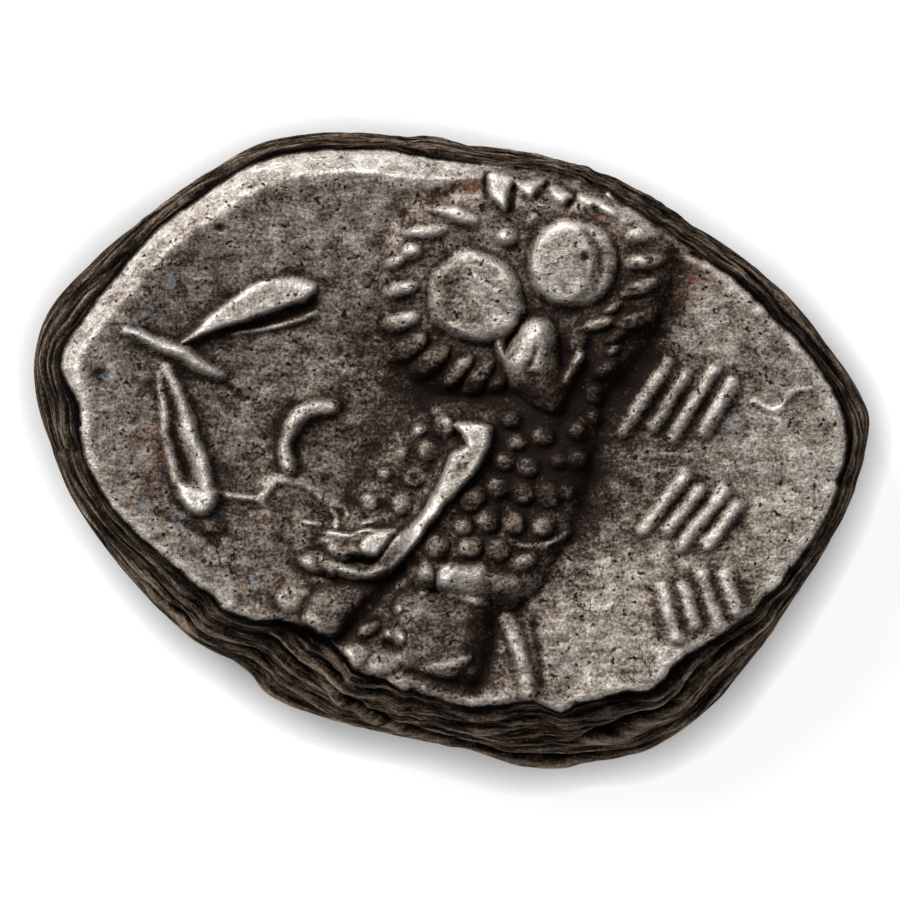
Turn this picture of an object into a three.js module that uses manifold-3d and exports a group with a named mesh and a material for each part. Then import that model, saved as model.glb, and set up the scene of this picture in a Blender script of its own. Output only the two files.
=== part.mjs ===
// An owl tetradrachm: a thick, oblong silver coin struck by hand, lying on its obverse, the owl up.
// Millimetres, +Z up. The origin is on the surface it lies on, under the middle of its plan.
// The flan is a skin of rings, and each raised form of the dies is joined to it.
import * as THREE from "three";
import { mergeVertices } from "three/addons/utils/BufferGeometryUtils.js";
import Module from "manifold-3d";

// ---------- Flan ----------
const RIM_Z = 6.25; // height of the struck face's edge
const DISH_DEPTH = 0.7; // how far the middle of the face lies below its edge
const GIRTH_Z = 2.3; // height of the flan's widest outline
const WALL_BULGE = 0.2; // how far the wall bows out between face and girth
const COLUMNS = 60; // points round each ring
const LIP = { width: 0.7, least: 0.1, drop: 0.6, middleDeg: 126, spanDeg: 52 }; // rolled lip, upper left
const UNDERSIDE = { edgeZ: 1.05, middleZ: 0.8, rollIn: 0.85, rollZ: 0.5 }; // the gently domed lower face
const ROOT = 0.6; // how deep each raised form is set into what carries it

// The widest outline of the flan, and the outline of its struck upper face.
const GIRTH = [
  [12.29, 0.5], [12.04, 1.6], [11.2, 2.9], [10.0, 4.5], [8.0, 5.95], [6.0, 7.2], [4.0, 8.1], [1.0, 8.75],
  [-0.5, 9.13], [-1.5, 9.05], [-3.3, 9.28], [-5.5, 8.9], [-7.0, 8.05], [-9.0, 6.75], [-10.5, 5.55],
  [-11.82, 4.0], [-12.27, 2.2], [-11.9, 0.5], [-11.1, -1.4], [-9.3, -4.0], [-7.7, -5.55], [-6.1, -6.5],
  [-5.3, -7.3], [-3.6, -7.95], [-1.0, -8.55], [0.6, -8.85], [2.2, -9.27], [4.0, -9.15], [6.0, -8.75],
  [8.0, -7.3], [10.0, -4.55], [11.5, -2.0],
];
const FACE = [
  [11.6, 0.7], [11.3, 1.6], [10.3, 3.0], [9.2, 4.05], [8.0, 5.1], [6.6, 6.25], [5.0, 7.25], [3.5, 7.95],
  [2.3, 8.3], [0.8, 8.35], [-1.0, 8.62], [-3.3, 8.8], [-5.5, 8.45], [-7.0, 7.6], [-8.6, 6.45], [-9.6, 5.35],
  [-10.7, 3.95], [-11.35, 2.6], [-10.95, 1.3], [-10.85, 0.0], [-10.0, -1.6], [-8.6, -3.0], [-6.3, -4.85],
  [-4.6, -5.05], [-3.5, -5.7], [-2.7, -6.5], [-0.8, -7.2], [0.9, -7.55], [2.3, -7.4], [3.3, -7.65],
  [4.4, -7.25], [6.0, -6.95], [6.9, -6.05], [8.4, -5.1], [9.5, -4.1], [10.7, -2.7], [11.45, -0.8],
];

const radians = THREE.MathUtils.degToRad;
const lerp = THREE.MathUtils.lerp;

// The radius of a closed outline at any angle about the middle, from a smooth curve through its points.
function outline(points) {
  const curve = new THREE.CatmullRomCurve3(points.map(([x, y]) => new THREE.Vector3(x, y, 0)), true);
  const samples = curve.getPoints(points.length * 12).slice(0, -1);
  const turns = samples.map((p) => ({ angle: Math.atan2(p.y, p.x), radius: Math.hypot(p.x, p.y) }));
  turns.sort((a, b) => a.angle - b.angle);
  const first = turns[0];
  const last = turns[turns.length - 1];
  turns.unshift({ angle: last.angle - 2 * Math.PI, radius: last.radius });
  turns.push({ angle: first.angle + 2 * Math.PI, radius: first.radius });
  return (angle) => {
    const wrapped = Math.atan2(Math.sin(angle), Math.cos(angle));
    const next = turns.findIndex((t) => t.angle >= wrapped);
    const [a, b] = [turns[next - 1], turns[next]];
    return lerp(a.radius, b.radius, (wrapped - a.angle) / (b.angle - a.angle || 1));
  };
}
const girthRadius = outline(GIRTH);
const faceRadius = outline(FACE);

// 1 in the middle of the rolled lip's stretch, falling smoothly to 0 at its ends.
function lipShare(angle) {
  const off = radians(LIP.middleDeg) - angle;
  const turn = Math.abs(Math.atan2(Math.sin(off), Math.cos(off))) / radians(LIP.spanDeg);
  return turn < 1 ? 0.5 + 0.5 * Math.cos(Math.PI * turn ** 3) : 0;
}
const lipWidth = (angle) => LIP.least + (LIP.width - LIP.least) * lipShare(angle);
const fieldRadius = (angle) => faceRadius(angle) - lipWidth(angle);

// Height of the bare, slightly dished field under a point of the upper face.
function fieldZ(x, y) {
  const out = Math.min(1, Math.hypot(x, y) / fieldRadius(Math.atan2(y, x)));
  return RIM_Z - DISH_DEPTH * (1 - out * out);
}

// Height of the bare lower face, which is domed downwards.
function undersideZ(x, y) {
  const out = Math.min(1, Math.hypot(x, y) / (girthRadius(Math.atan2(y, x)) - UNDERSIDE.rollIn));
  return lerp(UNDERSIDE.middleZ, UNDERSIDE.edgeZ, out * out);
}

// A closed skin over rings, which may differ in their number of points, with a pole at each end.
function skin(rings, startPole, endPole) {
  const points = [startPole, ...rings.flat(), endPole];
  const faces = [];
  let start = 1;
  const bands = rings.map(({ length: count }) => {
    const from = start;
    start += count;
    return { count, at: (i) => from + (i % count) };
  });
  bands.unshift({ count: 1, at: () => 0 });
  bands.push({ count: 1, at: () => points.length - 1 });
  for (let k = 0; k + 1 < bands.length; k++) {
    const [near, far] = [bands[k], bands[k + 1]];
    let [i, j] = [0, 0];
    while (i < near.count || j < far.count) {
      const alongNear = j >= far.count || (i < near.count && (i + 1) / near.count < (j + 1.01) / far.count);
      if (alongNear) {
        if (near.count > 1) faces.push(near.at(i), near.at(i + 1), far.at(j));
        i++;
      } else {
        if (far.count > 1) faces.push(near.at(i), far.at(j + 1), far.at(j));
        j++;
      }
    }
  }
  return new THREE.BufferGeometry().setFromPoints(points).setIndex(faces);
}

// ---------- The two struck sides ----------
// Broad swellings carry the finer forms. at: centre; radii: along and across; deg: direction of the
// long way; high: height above the bare surface.
const HEAD = { at: [2.1, 4.75], radii: [3.8, 2.6], deg: 12, high: 0.36 };
const BREAST = { at: [2.3, -0.95], radii: [3.2, 2.05], deg: 70, high: 0.5 };
const SHOULDER = { at: [-1.0, -1.0], radii: [2.6, 1.5], deg: 55, high: 0.3 };
const LEG = { at: [0.15, -5.2], radii: [1.6, 0.95], deg: 82, high: 0.5 };
const HELMET = { at: [-1.0, 1.9], radii: [5.2, 4.2], deg: 25, high: 1.05 };
const CHEEK = { at: [1.9, -1.3], radii: [3.5, 2.6], deg: 80, high: 0.72 };
const NECK = { at: [-1.0, -4.5], radii: [2.6, 2.2], deg: 60, high: 0.5 };

// bare: height of the plain surface; rise: which way is out; mirror: the underside is drawn as seen
// from below, so its x runs the other way.
const REVERSE = { bare: fieldZ, swellings: [HEAD, BREAST, SHOULDER, LEG], rise: 1, mirror: 1 };
const OBVERSE = { bare: undersideZ, swellings: [HELMET, CHEEK, NECK], rise: -1, mirror: -1 };

function swellingHeight({ at, radii, deg, high }, x, y) {
  const turn = radians(deg);
  const [dx, dy] = [x - at[0], y - at[1]];
  const along = (dx * Math.cos(turn) + dy * Math.sin(turn)) / radii[0];
  const across = (dy * Math.cos(turn) - dx * Math.sin(turn)) / radii[1];
  return high * Math.sqrt(Math.max(0, 1 - along * along - across * across));
}
function groundZ(side, x, y) {
  const swollen = Math.max(...side.swellings.map((swelling) => swellingHeight(swelling, x, y)));
  return side.bare(x * side.mirror, y) + side.rise * swollen;
}

// A ring of the flan: its radius is a function of the angle about the middle, its height of the point.
function flanRing(radius, height, count = COLUMNS) {
  return Array.from({ length: count }, (_, i) => {
    const angle = (2 * Math.PI * i) / count;
    const [x, y] = [radius(angle) * Math.cos(angle), radius(angle) * Math.sin(angle)];
    return new THREE.Vector3(x, y, height(x, y, angle));
  });
}

// The whole flan, ring by ring: out across the underside, up the wall and in across the upper face.
function flan() {
  const { edgeZ, rollIn, rollZ } = UNDERSIDE;
  const lipZ = (angle) => RIM_Z - LIP.drop * lipShare(angle);
  const topZ = (x, y) => groundZ(REVERSE, x, y);
  const bottomZ = (x, y) => Math.max(0, groundZ(OBVERSE, -x, y));
  const rings = [];
  for (const share of [0.14, 0.28, 0.42, 0.56, 0.7, 0.85, 1]) {
    rings.push(flanRing((a) => share * (girthRadius(a) - rollIn), bottomZ, Math.ceil(COLUMNS * share)));
  }
  rings.push(flanRing((a) => girthRadius(a) - rollIn * 0.35, () => edgeZ + rollZ));
  for (const share of [0, 0.33, 0.66, 0.93]) {
    const bow = WALL_BULGE * Math.sin(Math.PI * share);
    const radius = (a) => lerp(girthRadius(a), faceRadius(a), share) + bow;
    rings.push(flanRing(radius, (x, y, a) => lerp(GIRTH_Z, lipZ(a), share)));
  }
  rings.push(flanRing((a) => faceRadius(a) - 0.1, (x, y, a) => lipZ(a)));
  for (const share of [1, 0.87, 0.74, 0.62, 0.5, 0.38, 0.26, 0.13]) {
    rings.push(flanRing((a) => share * (fieldRadius(a) - 0.1), topZ, Math.ceil(COLUMNS * share)));
  }
  return skin(rings, new THREE.Vector3(0, 0, bottomZ(0, 0)), new THREE.Vector3(0, 0, topZ(0, 0)));
}

// ---------- Forms, each a closed geometry ----------
// A turned profile of [radius, height] points, stretched to an oval and set at height z, rooted below it.
function turned(side, profile, at, radii, deg, z, sides) {
  const rooted = [[0, -ROOT], [1, -ROOT], ...profile];
  return new THREE.LatheGeometry(rooted.map(([r, up]) => new THREE.Vector2(r, up * side.rise)), sides)
    .rotateX(Math.PI / 2)
    .scale(radii[0], radii[1], 1)
    .rotateZ(radians(deg) * side.mirror)
    .translate(at[0] * side.mirror, at[1], z);
}

// A rounded mound on the ground.
const DOME = [[1, 0], [0.76, 0.65], [0, 1]];
function mound(side, at, radii, deg, high, sides = 7) {
  const profile = DOME.map(([r, up]) => [r, up * high]);
  return turned(side, profile, at, radii, deg, groundZ(side, ...at), sides);
}

// A worn disc, nearly flat on top.
function disc(side, at, radii, high) {
  const profile = [[1, high * 0.3], [0.96, high * 0.7], [0.84, high * 0.93], [0.4, high], [0, high]];
  return turned(side, profile, at, radii, 0, groundZ(side, ...at), 20);
}

// A tapered ridge along a smooth path. Its left and right flanks can differ in width.
function ridge(side, path, left, right, high, stations = 6, blunt = 0.5) {
  const curve = new THREE.CatmullRomCurve3(path.map(([x, y]) => new THREE.Vector3(x, y, 0)));
  const section = [[-1, -0.05], [-0.5, 0.75], [0, 1], [0.5, 0.75], [1, -0.05], [0, -ROOT / high]];
  const place = (x, y, up) => new THREE.Vector3(x * side.mirror, y, groundZ(side, x, y) + side.rise * up);
  const rings = Array.from({ length: stations }, (_, i) => {
    const t = (i + 0.5) / stations;
    const p = curve.getPoint(t);
    const along = curve.getTangent(t);
    const taper = Math.pow(1 - Math.abs(2 * t - 1), blunt);
    return section.map(([over, up]) => {
      const reach = over * taper * (over < 0 ? left : right);
      return place(p.x + along.y * reach, p.y - along.x * reach, up * high * Math.min(1, taper + 0.25));
    });
  });
  return skin(rings, place(...path[0], 0), place(...path[path.length - 1], 0));
}

// A row of pellets between two ends.
function pelletRow(side, { from, to, count, radius, high }) {
  return Array.from({ length: count }, (_, i) => {
    const share = i / (count - 1);
    const at = [lerp(from[0], to[0], share), lerp(from[1], to[1], share)];
    return mound(side, at, [radius, radius], 0, high, 6);
  });
}

// ---------- The owl ----------
const EYES = [
  { at: [0.73, 4.42], radii: [1.43, 1.36], high: 0.5 },
  { at: [3.6, 5.4], radii: [1.33, 1.32], high: 0.5 },
];
// Feathers round the face: from which eye, angle about it, distance, direction, length, width.
const FACE_FEATHERS = [
  [0, 101, 2.48, -13, 1.25, 0.34], [0, 125, 2.34, 10, 1.35, 0.36], [0, 149, 2.42, 27, 1.3, 0.38],
  [0, 174, 2.19, 17, 1.0, 0.4], [0, 196, 2.33, 22, 1.0, 0.42], [0, 215, 2.37, 33, 1.1, 0.46],
  [0, 235, 2.22, 45, 1.05, 0.44], [0, 257, 2.27, 55, 1.0, 0.42], [0, 276, 2.28, 62, 1.0, 0.42],
  [1, 25, 2.2, 12, 1.0, 0.4], [1, 4, 2.16, 8, 1.15, 0.36], [1, -21, 2.03, 18, 1.25, 0.36],
  [1, -42, 2.29, 25, 1.1, 0.36], [1, -67, 1.89, 15, 0.9, 0.34],
];
// Feather pellets, row by row down the breast, then the two rows on the wing.
const PELLET_ROWS = [
  { from: [1.9, 0.2], to: [0.55, -2.9], count: 5, radius: 0.29, high: 0.27 },
  { from: [2.7, 0.4], to: [1.35, -2.9], count: 5, radius: 0.29, high: 0.27 },
  { from: [3.65, 0.5], to: [2.3, -3.3], count: 5, radius: 0.29, high: 0.27 },
  { from: [4.2, 0.9], to: [3.45, -1.15], count: 3, radius: 0.24, high: 0.27 },
  { from: [0.68, -1.5], to: [-0.4, -2.87], count: 3, radius: 0.29, high: 0.3 },
  { from: [1.75, 0.85], to: [4.2, 1.6], count: 2, radius: 0.26, high: 0.25 },
  { from: [-0.25, 0.6], to: [-1.45, -1.65], count: 4, radius: 0.29, high: 0.2 },
  { from: [-1.0, 0.5], to: [-2.35, -1.5], count: 4, radius: 0.2, high: 0.22 },
];

function owlHead() {
  const feathers = FACE_FEATHERS.map(([eye, angle, away, deg, long, wide]) => {
    const [x, y] = EYES[eye].at;
    const at = [x + away * Math.cos(radians(angle)), y + away * Math.sin(radians(angle))];
    return mound(REVERSE, at, [long / 2, wide / 2], deg, 0.3);
  });
  return [
    ...EYES.map(({ at, radii, high }) => disc(REVERSE, at, radii, high)),
    mound(REVERSE, [1.68, 6.2], [0.3, 0.3], 0, 0.34), // the pellet on the forehead
    mound(REVERSE, [2.4, 2.9], [1.0, 0.68], 80, 0.6, 10), // the beak
    mound(REVERSE, [2.8, 1.95], [0.85, 0.5], 105, 0.5),
    mound(REVERSE, [1.8, 2.6], [0.5, 0.42], 60, 0.4),
    ridge(REVERSE, [[3.3, 2.0], [3.55, 2.4], [3.75, 2.8]], 0.18, 0.18, 0.4, 3), // bristle beside the beak
    ...feathers,
  ];
}

function owlBody() {
  const wingBand = [[0.95, 0.85], [0.72, -0.35], [-0.1, -1.6], [-1.1, -2.75], [-2.1, -3.75]];
  const breastEdge = [[4.3, 1.3], [4.35, -0.2], [4.0, -1.6], [3.45, -2.9], [2.5, -3.9]];
  return [
    ridge(REVERSE, wingBand, 0.55, 0.22, 0.5, 8, 0.25),
    ridge(REVERSE, breastEdge, 0.18, 0.55, 0.24, 6, 0.4),
    ridge(REVERSE, [[0.05, 0.8], [0.5, 0.85], [1.15, 0.7]], 0.3, 0.35, 0.34, 4), // upper end of the wing
    ...PELLET_ROWS.flatMap((row) => pelletRow(REVERSE, row)),
  ];
}

function owlTailAndLegs() {
  const lump = (x, y, long, wide, deg, high) => mound(REVERSE, [x, y], [long, wide], deg, high);
  return [
    lump(-2.25, -2.8, 0.7, 0.36, 20, 0.5), // worn wing tips
    lump(-3.2, -2.75, 0.5, 0.25, -60, 0.4),
    lump(-4.15, -3.25, 0.42, 0.34, 0, 0.45),
    ridge(REVERSE, [[-3.9, -3.45], [-3.2, -3.75], [-2.6, -3.8], [-1.9, -3.5]], 0.25, 0.25, 0.5, 5),
    ridge(REVERSE, [[-1.9, -3.9], [-2.7, -4.6], [-3.5, -5.35]], 0.3, 0.9, 0.42, 5), // tail
    lump(-4.6, -4.5, 0.65, 0.35, -40, 0.28),
    lump(0.35, -3.95, 0.85, 0.48, -5, 0.6), // thigh feathers
    lump(-0.75, -3.85, 0.38, 0.22, 80, 0.42),
    lump(1.5, -4.05, 0.5, 0.42, 0, 0.45),
    ridge(REVERSE, [[-0.85, -6.45], [-0.1, -6.3], [0.65, -6.05]], 0.3, 0.16, 0.4, 4), // foot
    lump(-1.6, -5.6, 0.26, 0.26, 0, 0.3), // toes
    lump(-2.2, -5.3, 0.3, 0.17, 35, 0.26),
    lump(-2.7, -5.95, 0.42, 0.32, -20, 0.26),
    ridge(REVERSE, [[1.72, -4.95], [1.98, -6.0], [2.32, -7.1]], 0.22, 0.2, 0.42, 5, 0.35), // far leg
  ];
}

// Torn teeth of metal along the edge above the head: x, y, half length, half width, direction.
const RIM_TEETH = [
  [1.42, 7.65, 0.5, 0.26, 70], [2.3, 7.75, 0.42, 0.28, 0], [3.2, 7.52, 0.42, 0.26, -30],
  [3.98, 7.22, 0.42, 0.24, -35], [4.65, 6.95, 0.36, 0.2, -35],
];
function rimTeeth() {
  return RIM_TEETH.map(([x, y, long, wide, deg]) => mound(REVERSE, [x, y], [long, wide], deg, 0.32));
}

// ---------- Symbols in the field ----------
function oliveSprig() {
  const upperLeaf = [[-8.05, 3.05], [-6.9, 3.55], [-5.4, 4.2], [-3.8, 4.65]];
  const lowerLeaf = [[-8.25, 2.3], [-7.95, 1.2], [-7.55, 0.0], [-7.2, -1.1]];
  const stem = [[-9.5, 3.42], [-8.2, 2.95], [-7.2, 2.42], [-6.35, 1.75]];
  const vein = [[-8.5, 1.6], [-8.32, 0.4], [-8.0, -1.0]];
  return [
    ridge(REVERSE, upperLeaf, 0.4, 0.75, 0.5, 7, 0.6),
    ridge(REVERSE, lowerLeaf, 0.3, 0.5, 0.45, 7, 0.4),
    ridge(REVERSE, stem, 0.19, 0.19, 0.36, 6),
    ridge(REVERSE, vein, 0.2, 0.16, 0.34, 5),
    mound(REVERSE, [-7.35, -1.55], [0.65, 0.45], 5, 0.5), // berry
    mound(REVERSE, [-7.0, -2.25], [0.3, 0.28], 0, 0.2),
  ];
}

const CRESCENT = { centre: [-3.6, -0.1], radius: 1.2, fromDeg: 72, toDeg: 205, half: 0.25, high: 0.42 };
function crescent({ centre, radius, fromDeg, toDeg, half, high }) {
  const path = [0, 0.25, 0.5, 0.75, 1].map((share) => {
    const angle = radians(lerp(fromDeg, toDeg, share));
    return [centre[0] + radius * Math.cos(angle), centre[1] + radius * Math.sin(angle)];
  });
  return ridge(REVERSE, path, half, half, high, 8, 0.3);
}

// Three rows of plain raised strokes down the right of the field.
const STROKE_ROWS = [
  { at: [6.75, 1.35], rowDeg: -8, leanDeg: 58, count: 4, pitch: 0.72, long: 2.3, half: 0.17 },
  { at: [7.1, -1.9], rowDeg: -20, leanDeg: 52, count: 4, pitch: 0.62, long: 2.0, half: 0.17 },
  { at: [7.3, -4.5], rowDeg: 18, leanDeg: 108, count: 4, pitch: 0.62, long: 1.5, half: 0.16 },
];
function strokes({ at, rowDeg, leanDeg, count, pitch, long, half }) {
  return Array.from({ length: count }, (_, i) => {
    const out = (i - (count - 1) / 2) * pitch;
    const middle = [at[0] + out * Math.cos(radians(rowDeg)), at[1] + out * Math.sin(radians(rowDeg))];
    const reach = (long / 2) * (i % 2 ? 0.72 : 1);
    const step = [reach * Math.cos(radians(leanDeg)), reach * Math.sin(radians(leanDeg))];
    const path = [-1, 0, 1].map((end) => [middle[0] + end * step[0], middle[1] + end * step[1]]);
    return ridge(REVERSE, path, half, half, 0.26, 3, 0.3);
  });
}

// Torn edges where the metal has lifted in thin sheets.
function laminations() {
  const besideBerry = [[-6.75, -1.4], [-5.7, -1.35], [-5.25, -1.08], [-4.4, -1.05], [-3.8, -1.4]];
  const nearEdge = [[8.8, 1.42], [9.5, 1.15], [10.0, 1.65], [10.6, 1.75]];
  return [ridge(REVERSE, besideBerry, 0.14, 0.14, 0.2, 6), ridge(REVERSE, nearEdge, 0.12, 0.12, 0.14, 6)];
}

// ---------- The obverse: a helmeted head facing right, worn flat where it stood highest ----------
function helmetedHead() {
  const form = (x, y, long, wide, deg, high) => mound(OBVERSE, [x, y], [long, wide], deg, high);
  const row = (count, place) => Array.from({ length: count }, (_, i) => form(...place(i)));
  const around = (x, y, rx, ry, deg) => [x + rx * Math.cos(radians(deg)), y + ry * Math.sin(radians(deg))];
  const visor = [[4.1, 2.5], [2.2, 1.9], [0.2, 0.2], [-1.6, -2.1], [-3.6, -3.2]];
  const crest = [50, 80, 110, 140, 170, 200].map((deg) => around(-1.5, 0.9, 6.4, 5.2, deg));
  return [
    ridge(OBVERSE, visor, 0.3, 0.3, 0.34, 8, 0.3),
    ridge(OBVERSE, crest, 0.3, 0.5, 0.42, 9, 0.3),
    form(4.2, 0.25, 1.0, 0.42, -66, 0.5), // nose
    form(3.75, -1.5, 0.5, 0.22, 10, 0.45), // lips
    form(3.65, -2.0, 0.48, 0.22, -8, 0.42),
    form(3.1, -3.4, 0.85, 0.62, 40, 0.4), // chin
    form(2.75, 0.4, 0.66, 0.26, -6, 0.34), // eye
    form(2.75, 1.05, 0.95, 0.17, 8, 0.3), // brow
    form(-0.6, -2.6, 0.42, 0.42, 0, 0.4), // earring
    ...row(6, (i) => [3.2 - 0.55 * i, 1.35 - 0.62 * i, 0.4, 0.22, -55 - 4 * i, 0.3]), // hair
    ...row(6, (i) => [-3.0 + 0.95 * i, -6.1 + 0.11 * (i - 2.5) ** 2, 0.25, 0.25, 0, 0.34]), // necklace
    ...row(3, (i) => [2.6 - 1.5 * i, 4.1 + 0.3 * i, 0.85, 0.28, 62 + 14 * i, 0.34]), // leaves
    ...row(4, (i) => [...around(-3.2, 0.9, 0.9, 0.9, 180 - 80 * i), 0.45, 0.2, 114 - 80 * i, 0.3]), // scroll
  ];
}

// ---------- Joining ----------
const wasm = await Module();
wasm.setup();

// A closed geometry as a solid, its faces turned outwards.
function solid(geometry) {
  const bare = geometry.clone();
  bare.deleteAttribute("normal");
  bare.deleteAttribute("uv");
  const merged = mergeVertices(bare, 1e-4);
  const vertProperties = merged.attributes.position.array;
  const triVerts = new Uint32Array(merged.index.array);
  const made = new wasm.Manifold(new wasm.Mesh({ numProp: 3, vertProperties, triVerts }));
  if (made.volume() > 0) return made;
  return new wasm.Manifold(new wasm.Mesh({ numProp: 3, vertProperties, triVerts: triVerts.reverse() }));
}

const reliefs = [
  ...owlHead(), ...owlBody(), ...owlTailAndLegs(), ...rimTeeth(),
  ...oliveSprig(), crescent(CRESCENT), ...STROKE_ROWS.flatMap(strokes), ...laminations(),
  ...helmetedHead(),
];
const belowTable = new THREE.BoxGeometry(40, 40, 4).translate(0, 0, -2);
const struck = reliefs.reduce((whole, form) => whole.add(solid(form)), solid(flan()));

const shell = struck.subtract(solid(belowTable)).getMesh();
const geometry = new THREE.BufferGeometry()
  .setAttribute("position", new THREE.BufferAttribute(shell.vertProperties, 3))
  .setIndex(new THREE.BufferAttribute(shell.triVerts, 1));
geometry.computeBoundingBox();
const middle = geometry.boundingBox.getCenter(new THREE.Vector3());
geometry.translate(-middle.x, -middle.y, 0);
geometry.computeVertexNormals();

const tonedSilver = new THREE.MeshStandardMaterial({ color: 0x9a9186, roughness: 0.45, metalness: 0.85 });
const coin = new THREE.Mesh(geometry, tonedSilver);
coin.name = "coin";

const tetradrachm = new THREE.Group();
tetradrachm.add(coin);
export default tetradrachm;
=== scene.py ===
import math

import bpy
import numpy as np
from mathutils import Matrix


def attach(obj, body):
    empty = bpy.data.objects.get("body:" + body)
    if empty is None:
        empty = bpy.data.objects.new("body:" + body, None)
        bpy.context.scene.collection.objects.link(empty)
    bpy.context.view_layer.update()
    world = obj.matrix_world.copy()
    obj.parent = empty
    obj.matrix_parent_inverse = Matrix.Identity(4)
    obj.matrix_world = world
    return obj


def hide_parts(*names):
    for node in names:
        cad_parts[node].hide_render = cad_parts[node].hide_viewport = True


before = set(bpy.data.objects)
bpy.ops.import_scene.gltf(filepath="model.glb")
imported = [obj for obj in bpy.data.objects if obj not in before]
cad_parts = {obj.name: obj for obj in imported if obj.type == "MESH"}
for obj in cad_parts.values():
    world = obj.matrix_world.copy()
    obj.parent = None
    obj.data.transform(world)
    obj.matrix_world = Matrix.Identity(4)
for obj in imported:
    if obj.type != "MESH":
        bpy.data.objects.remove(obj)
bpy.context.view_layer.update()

# All shaping below is in millimetres. +X runs along the coin, +Y towards the owl's head, +Z up.
MM = 0.001

# ---------- The flan, as the solid has it ----------
RIM_Z = 6.25  # height of the struck face's edge
DISH_DEPTH = 0.7  # how far the middle of the face lies below its edge
GIRTH_Z = 2.3  # height of the widest outline
WALL_BULGE = 0.2
LIP_LEAST, LIP_WIDTH, LIP_DROP, LIP_MIDDLE, LIP_SPAN = 0.1, 0.7, 0.6, 126.0, 52.0
LIP_WEAR_AND_LIGHT = 0.34  # how much lighter the lip is painted than the field: wear, and painted light where it faces the key light
UNDER_EDGE_Z, UNDER_MIDDLE_Z, UNDER_ROLL = 1.05, 0.8, 0.85
FACE_LEAST_Z = 4.4  # the struck face lies wholly above this
MEAN_RADIUS = 10.5  # turns an angle into millimetres along the wall

GIRTH = [
    (12.29, 0.5), (12.04, 1.6), (11.2, 2.9), (10.0, 4.5), (8.0, 5.95), (6.0, 7.2), (4.0, 8.1), (1.0, 8.75),
    (-0.5, 9.13), (-1.5, 9.05), (-3.3, 9.28), (-5.5, 8.9), (-7.0, 8.05), (-9.0, 6.75), (-10.5, 5.55),
    (-11.82, 4.0), (-12.27, 2.2), (-11.9, 0.5), (-11.1, -1.4), (-9.3, -4.0), (-7.7, -5.55), (-6.1, -6.5),
    (-5.3, -7.3), (-3.6, -7.95), (-1.0, -8.55), (0.6, -8.85), (2.2, -9.27), (4.0, -9.15), (6.0, -8.75),
    (8.0, -7.3), (10.0, -4.55), (11.5, -2.0),
]
FACE = [
    (11.6, 0.7), (11.3, 1.6), (10.3, 3.0), (9.2, 4.05), (8.0, 5.1), (6.6, 6.25), (5.0, 7.25), (3.5, 7.95),
    (2.3, 8.3), (0.8, 8.35), (-1.0, 8.62), (-3.3, 8.8), (-5.5, 8.45), (-7.0, 7.6), (-8.6, 6.45), (-9.6, 5.35),
    (-10.7, 3.95), (-11.35, 2.6), (-10.95, 1.3), (-10.85, 0.0), (-10.0, -1.6), (-8.6, -3.0), (-6.3, -4.85),
    (-4.6, -5.05), (-3.5, -5.7), (-2.7, -6.5), (-0.8, -7.2), (0.9, -7.55), (2.3, -7.4), (3.3, -7.65),
    (4.4, -7.25), (6.0, -6.95), (6.9, -6.05), (8.4, -5.1), (9.5, -4.1), (10.7, -2.7), (11.45, -0.8),
]


def smooth_line(points, steps=10, closed=False):
    """A Catmull-Rom curve through the points."""
    p = np.asarray(points, float)
    p = np.vstack([p[-1], p, p[:2]]) if closed else np.vstack([2 * p[0] - p[1], p, 2 * p[-1] - p[-2]])
    t = np.linspace(0, 1, steps, endpoint=False)[:, None]
    parts = []
    for a, b, c, d in zip(p, p[1:], p[2:], p[3:]):
        bend, twist = 2 * a - 5 * b + 4 * c - d, 3 * b - a - 3 * c + d
        parts.append(0.5 * (2 * b + (c - a) * t + bend * t**2 + twist * t**3))
    line = np.vstack(parts)
    return line if closed else np.vstack([line, p[-2]])


def outline(points):
    """A closed outline's radius at any angle about the middle."""
    line = smooth_line(points, 12, closed=True)
    angle = np.arctan2(line[:, 1], line[:, 0])
    order = np.argsort(angle)
    angle, radius = angle[order], np.hypot(*line[order].T)
    return lambda turn: np.interp(np.arctan2(np.sin(turn), np.cos(turn)), angle, radius, period=2 * math.pi)


girth_radius, smooth_face_radius = outline(GIRTH), outline(FACE)


def grain(x, y, size, seed):
    """Smooth random bumps about size mm across, from -1 to 1."""
    lattice = np.random.default_rng(seed).uniform(-1, 1, (256, 256))
    u, v = x / size + 90.3, y / size + 71.7
    i, j = np.floor(u).astype(int), np.floor(v).astype(int)
    s, t = u - i, v - j
    s, t = s * s * (3 - 2 * s), t * t * (3 - 2 * t)
    i, j, i1, j1 = i % 256, j % 256, (i + 1) % 256, (j + 1) % 256
    near = lattice[i, j] * (1 - s) + lattice[i1, j] * s
    far = lattice[i, j1] * (1 - s) + lattice[i1, j1] * s
    return near * (1 - t) + far * t


def rough(x, y, size, octaves, seed):
    """Random bumps of several sizes, the largest size mm across."""
    return sum(grain(x, y, size / 2**k, seed + k) / 2**k for k in range(octaves))


def face_radius(turn):
    """The struck face's torn edge, smoother along the lip."""
    x, y = 9 * np.cos(turn), 9 * np.sin(turn)
    return smooth_face_radius(turn) + (0.1 - 0.06 * lip_share(turn)) * rough(x, y, 0.8, 3, 5)


def lip_share(turn):
    off = np.radians(LIP_MIDDLE) - turn
    out = np.abs(np.arctan2(np.sin(off), np.cos(off))) / math.radians(LIP_SPAN)
    return np.where(out < 1, 0.5 + 0.5 * np.cos(np.pi * np.minimum(out, 1) ** 3), 0)


def field_radius(turn):
    return smooth_face_radius(turn) - (LIP_LEAST + (LIP_WIDTH - LIP_LEAST) * lip_share(turn))


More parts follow.
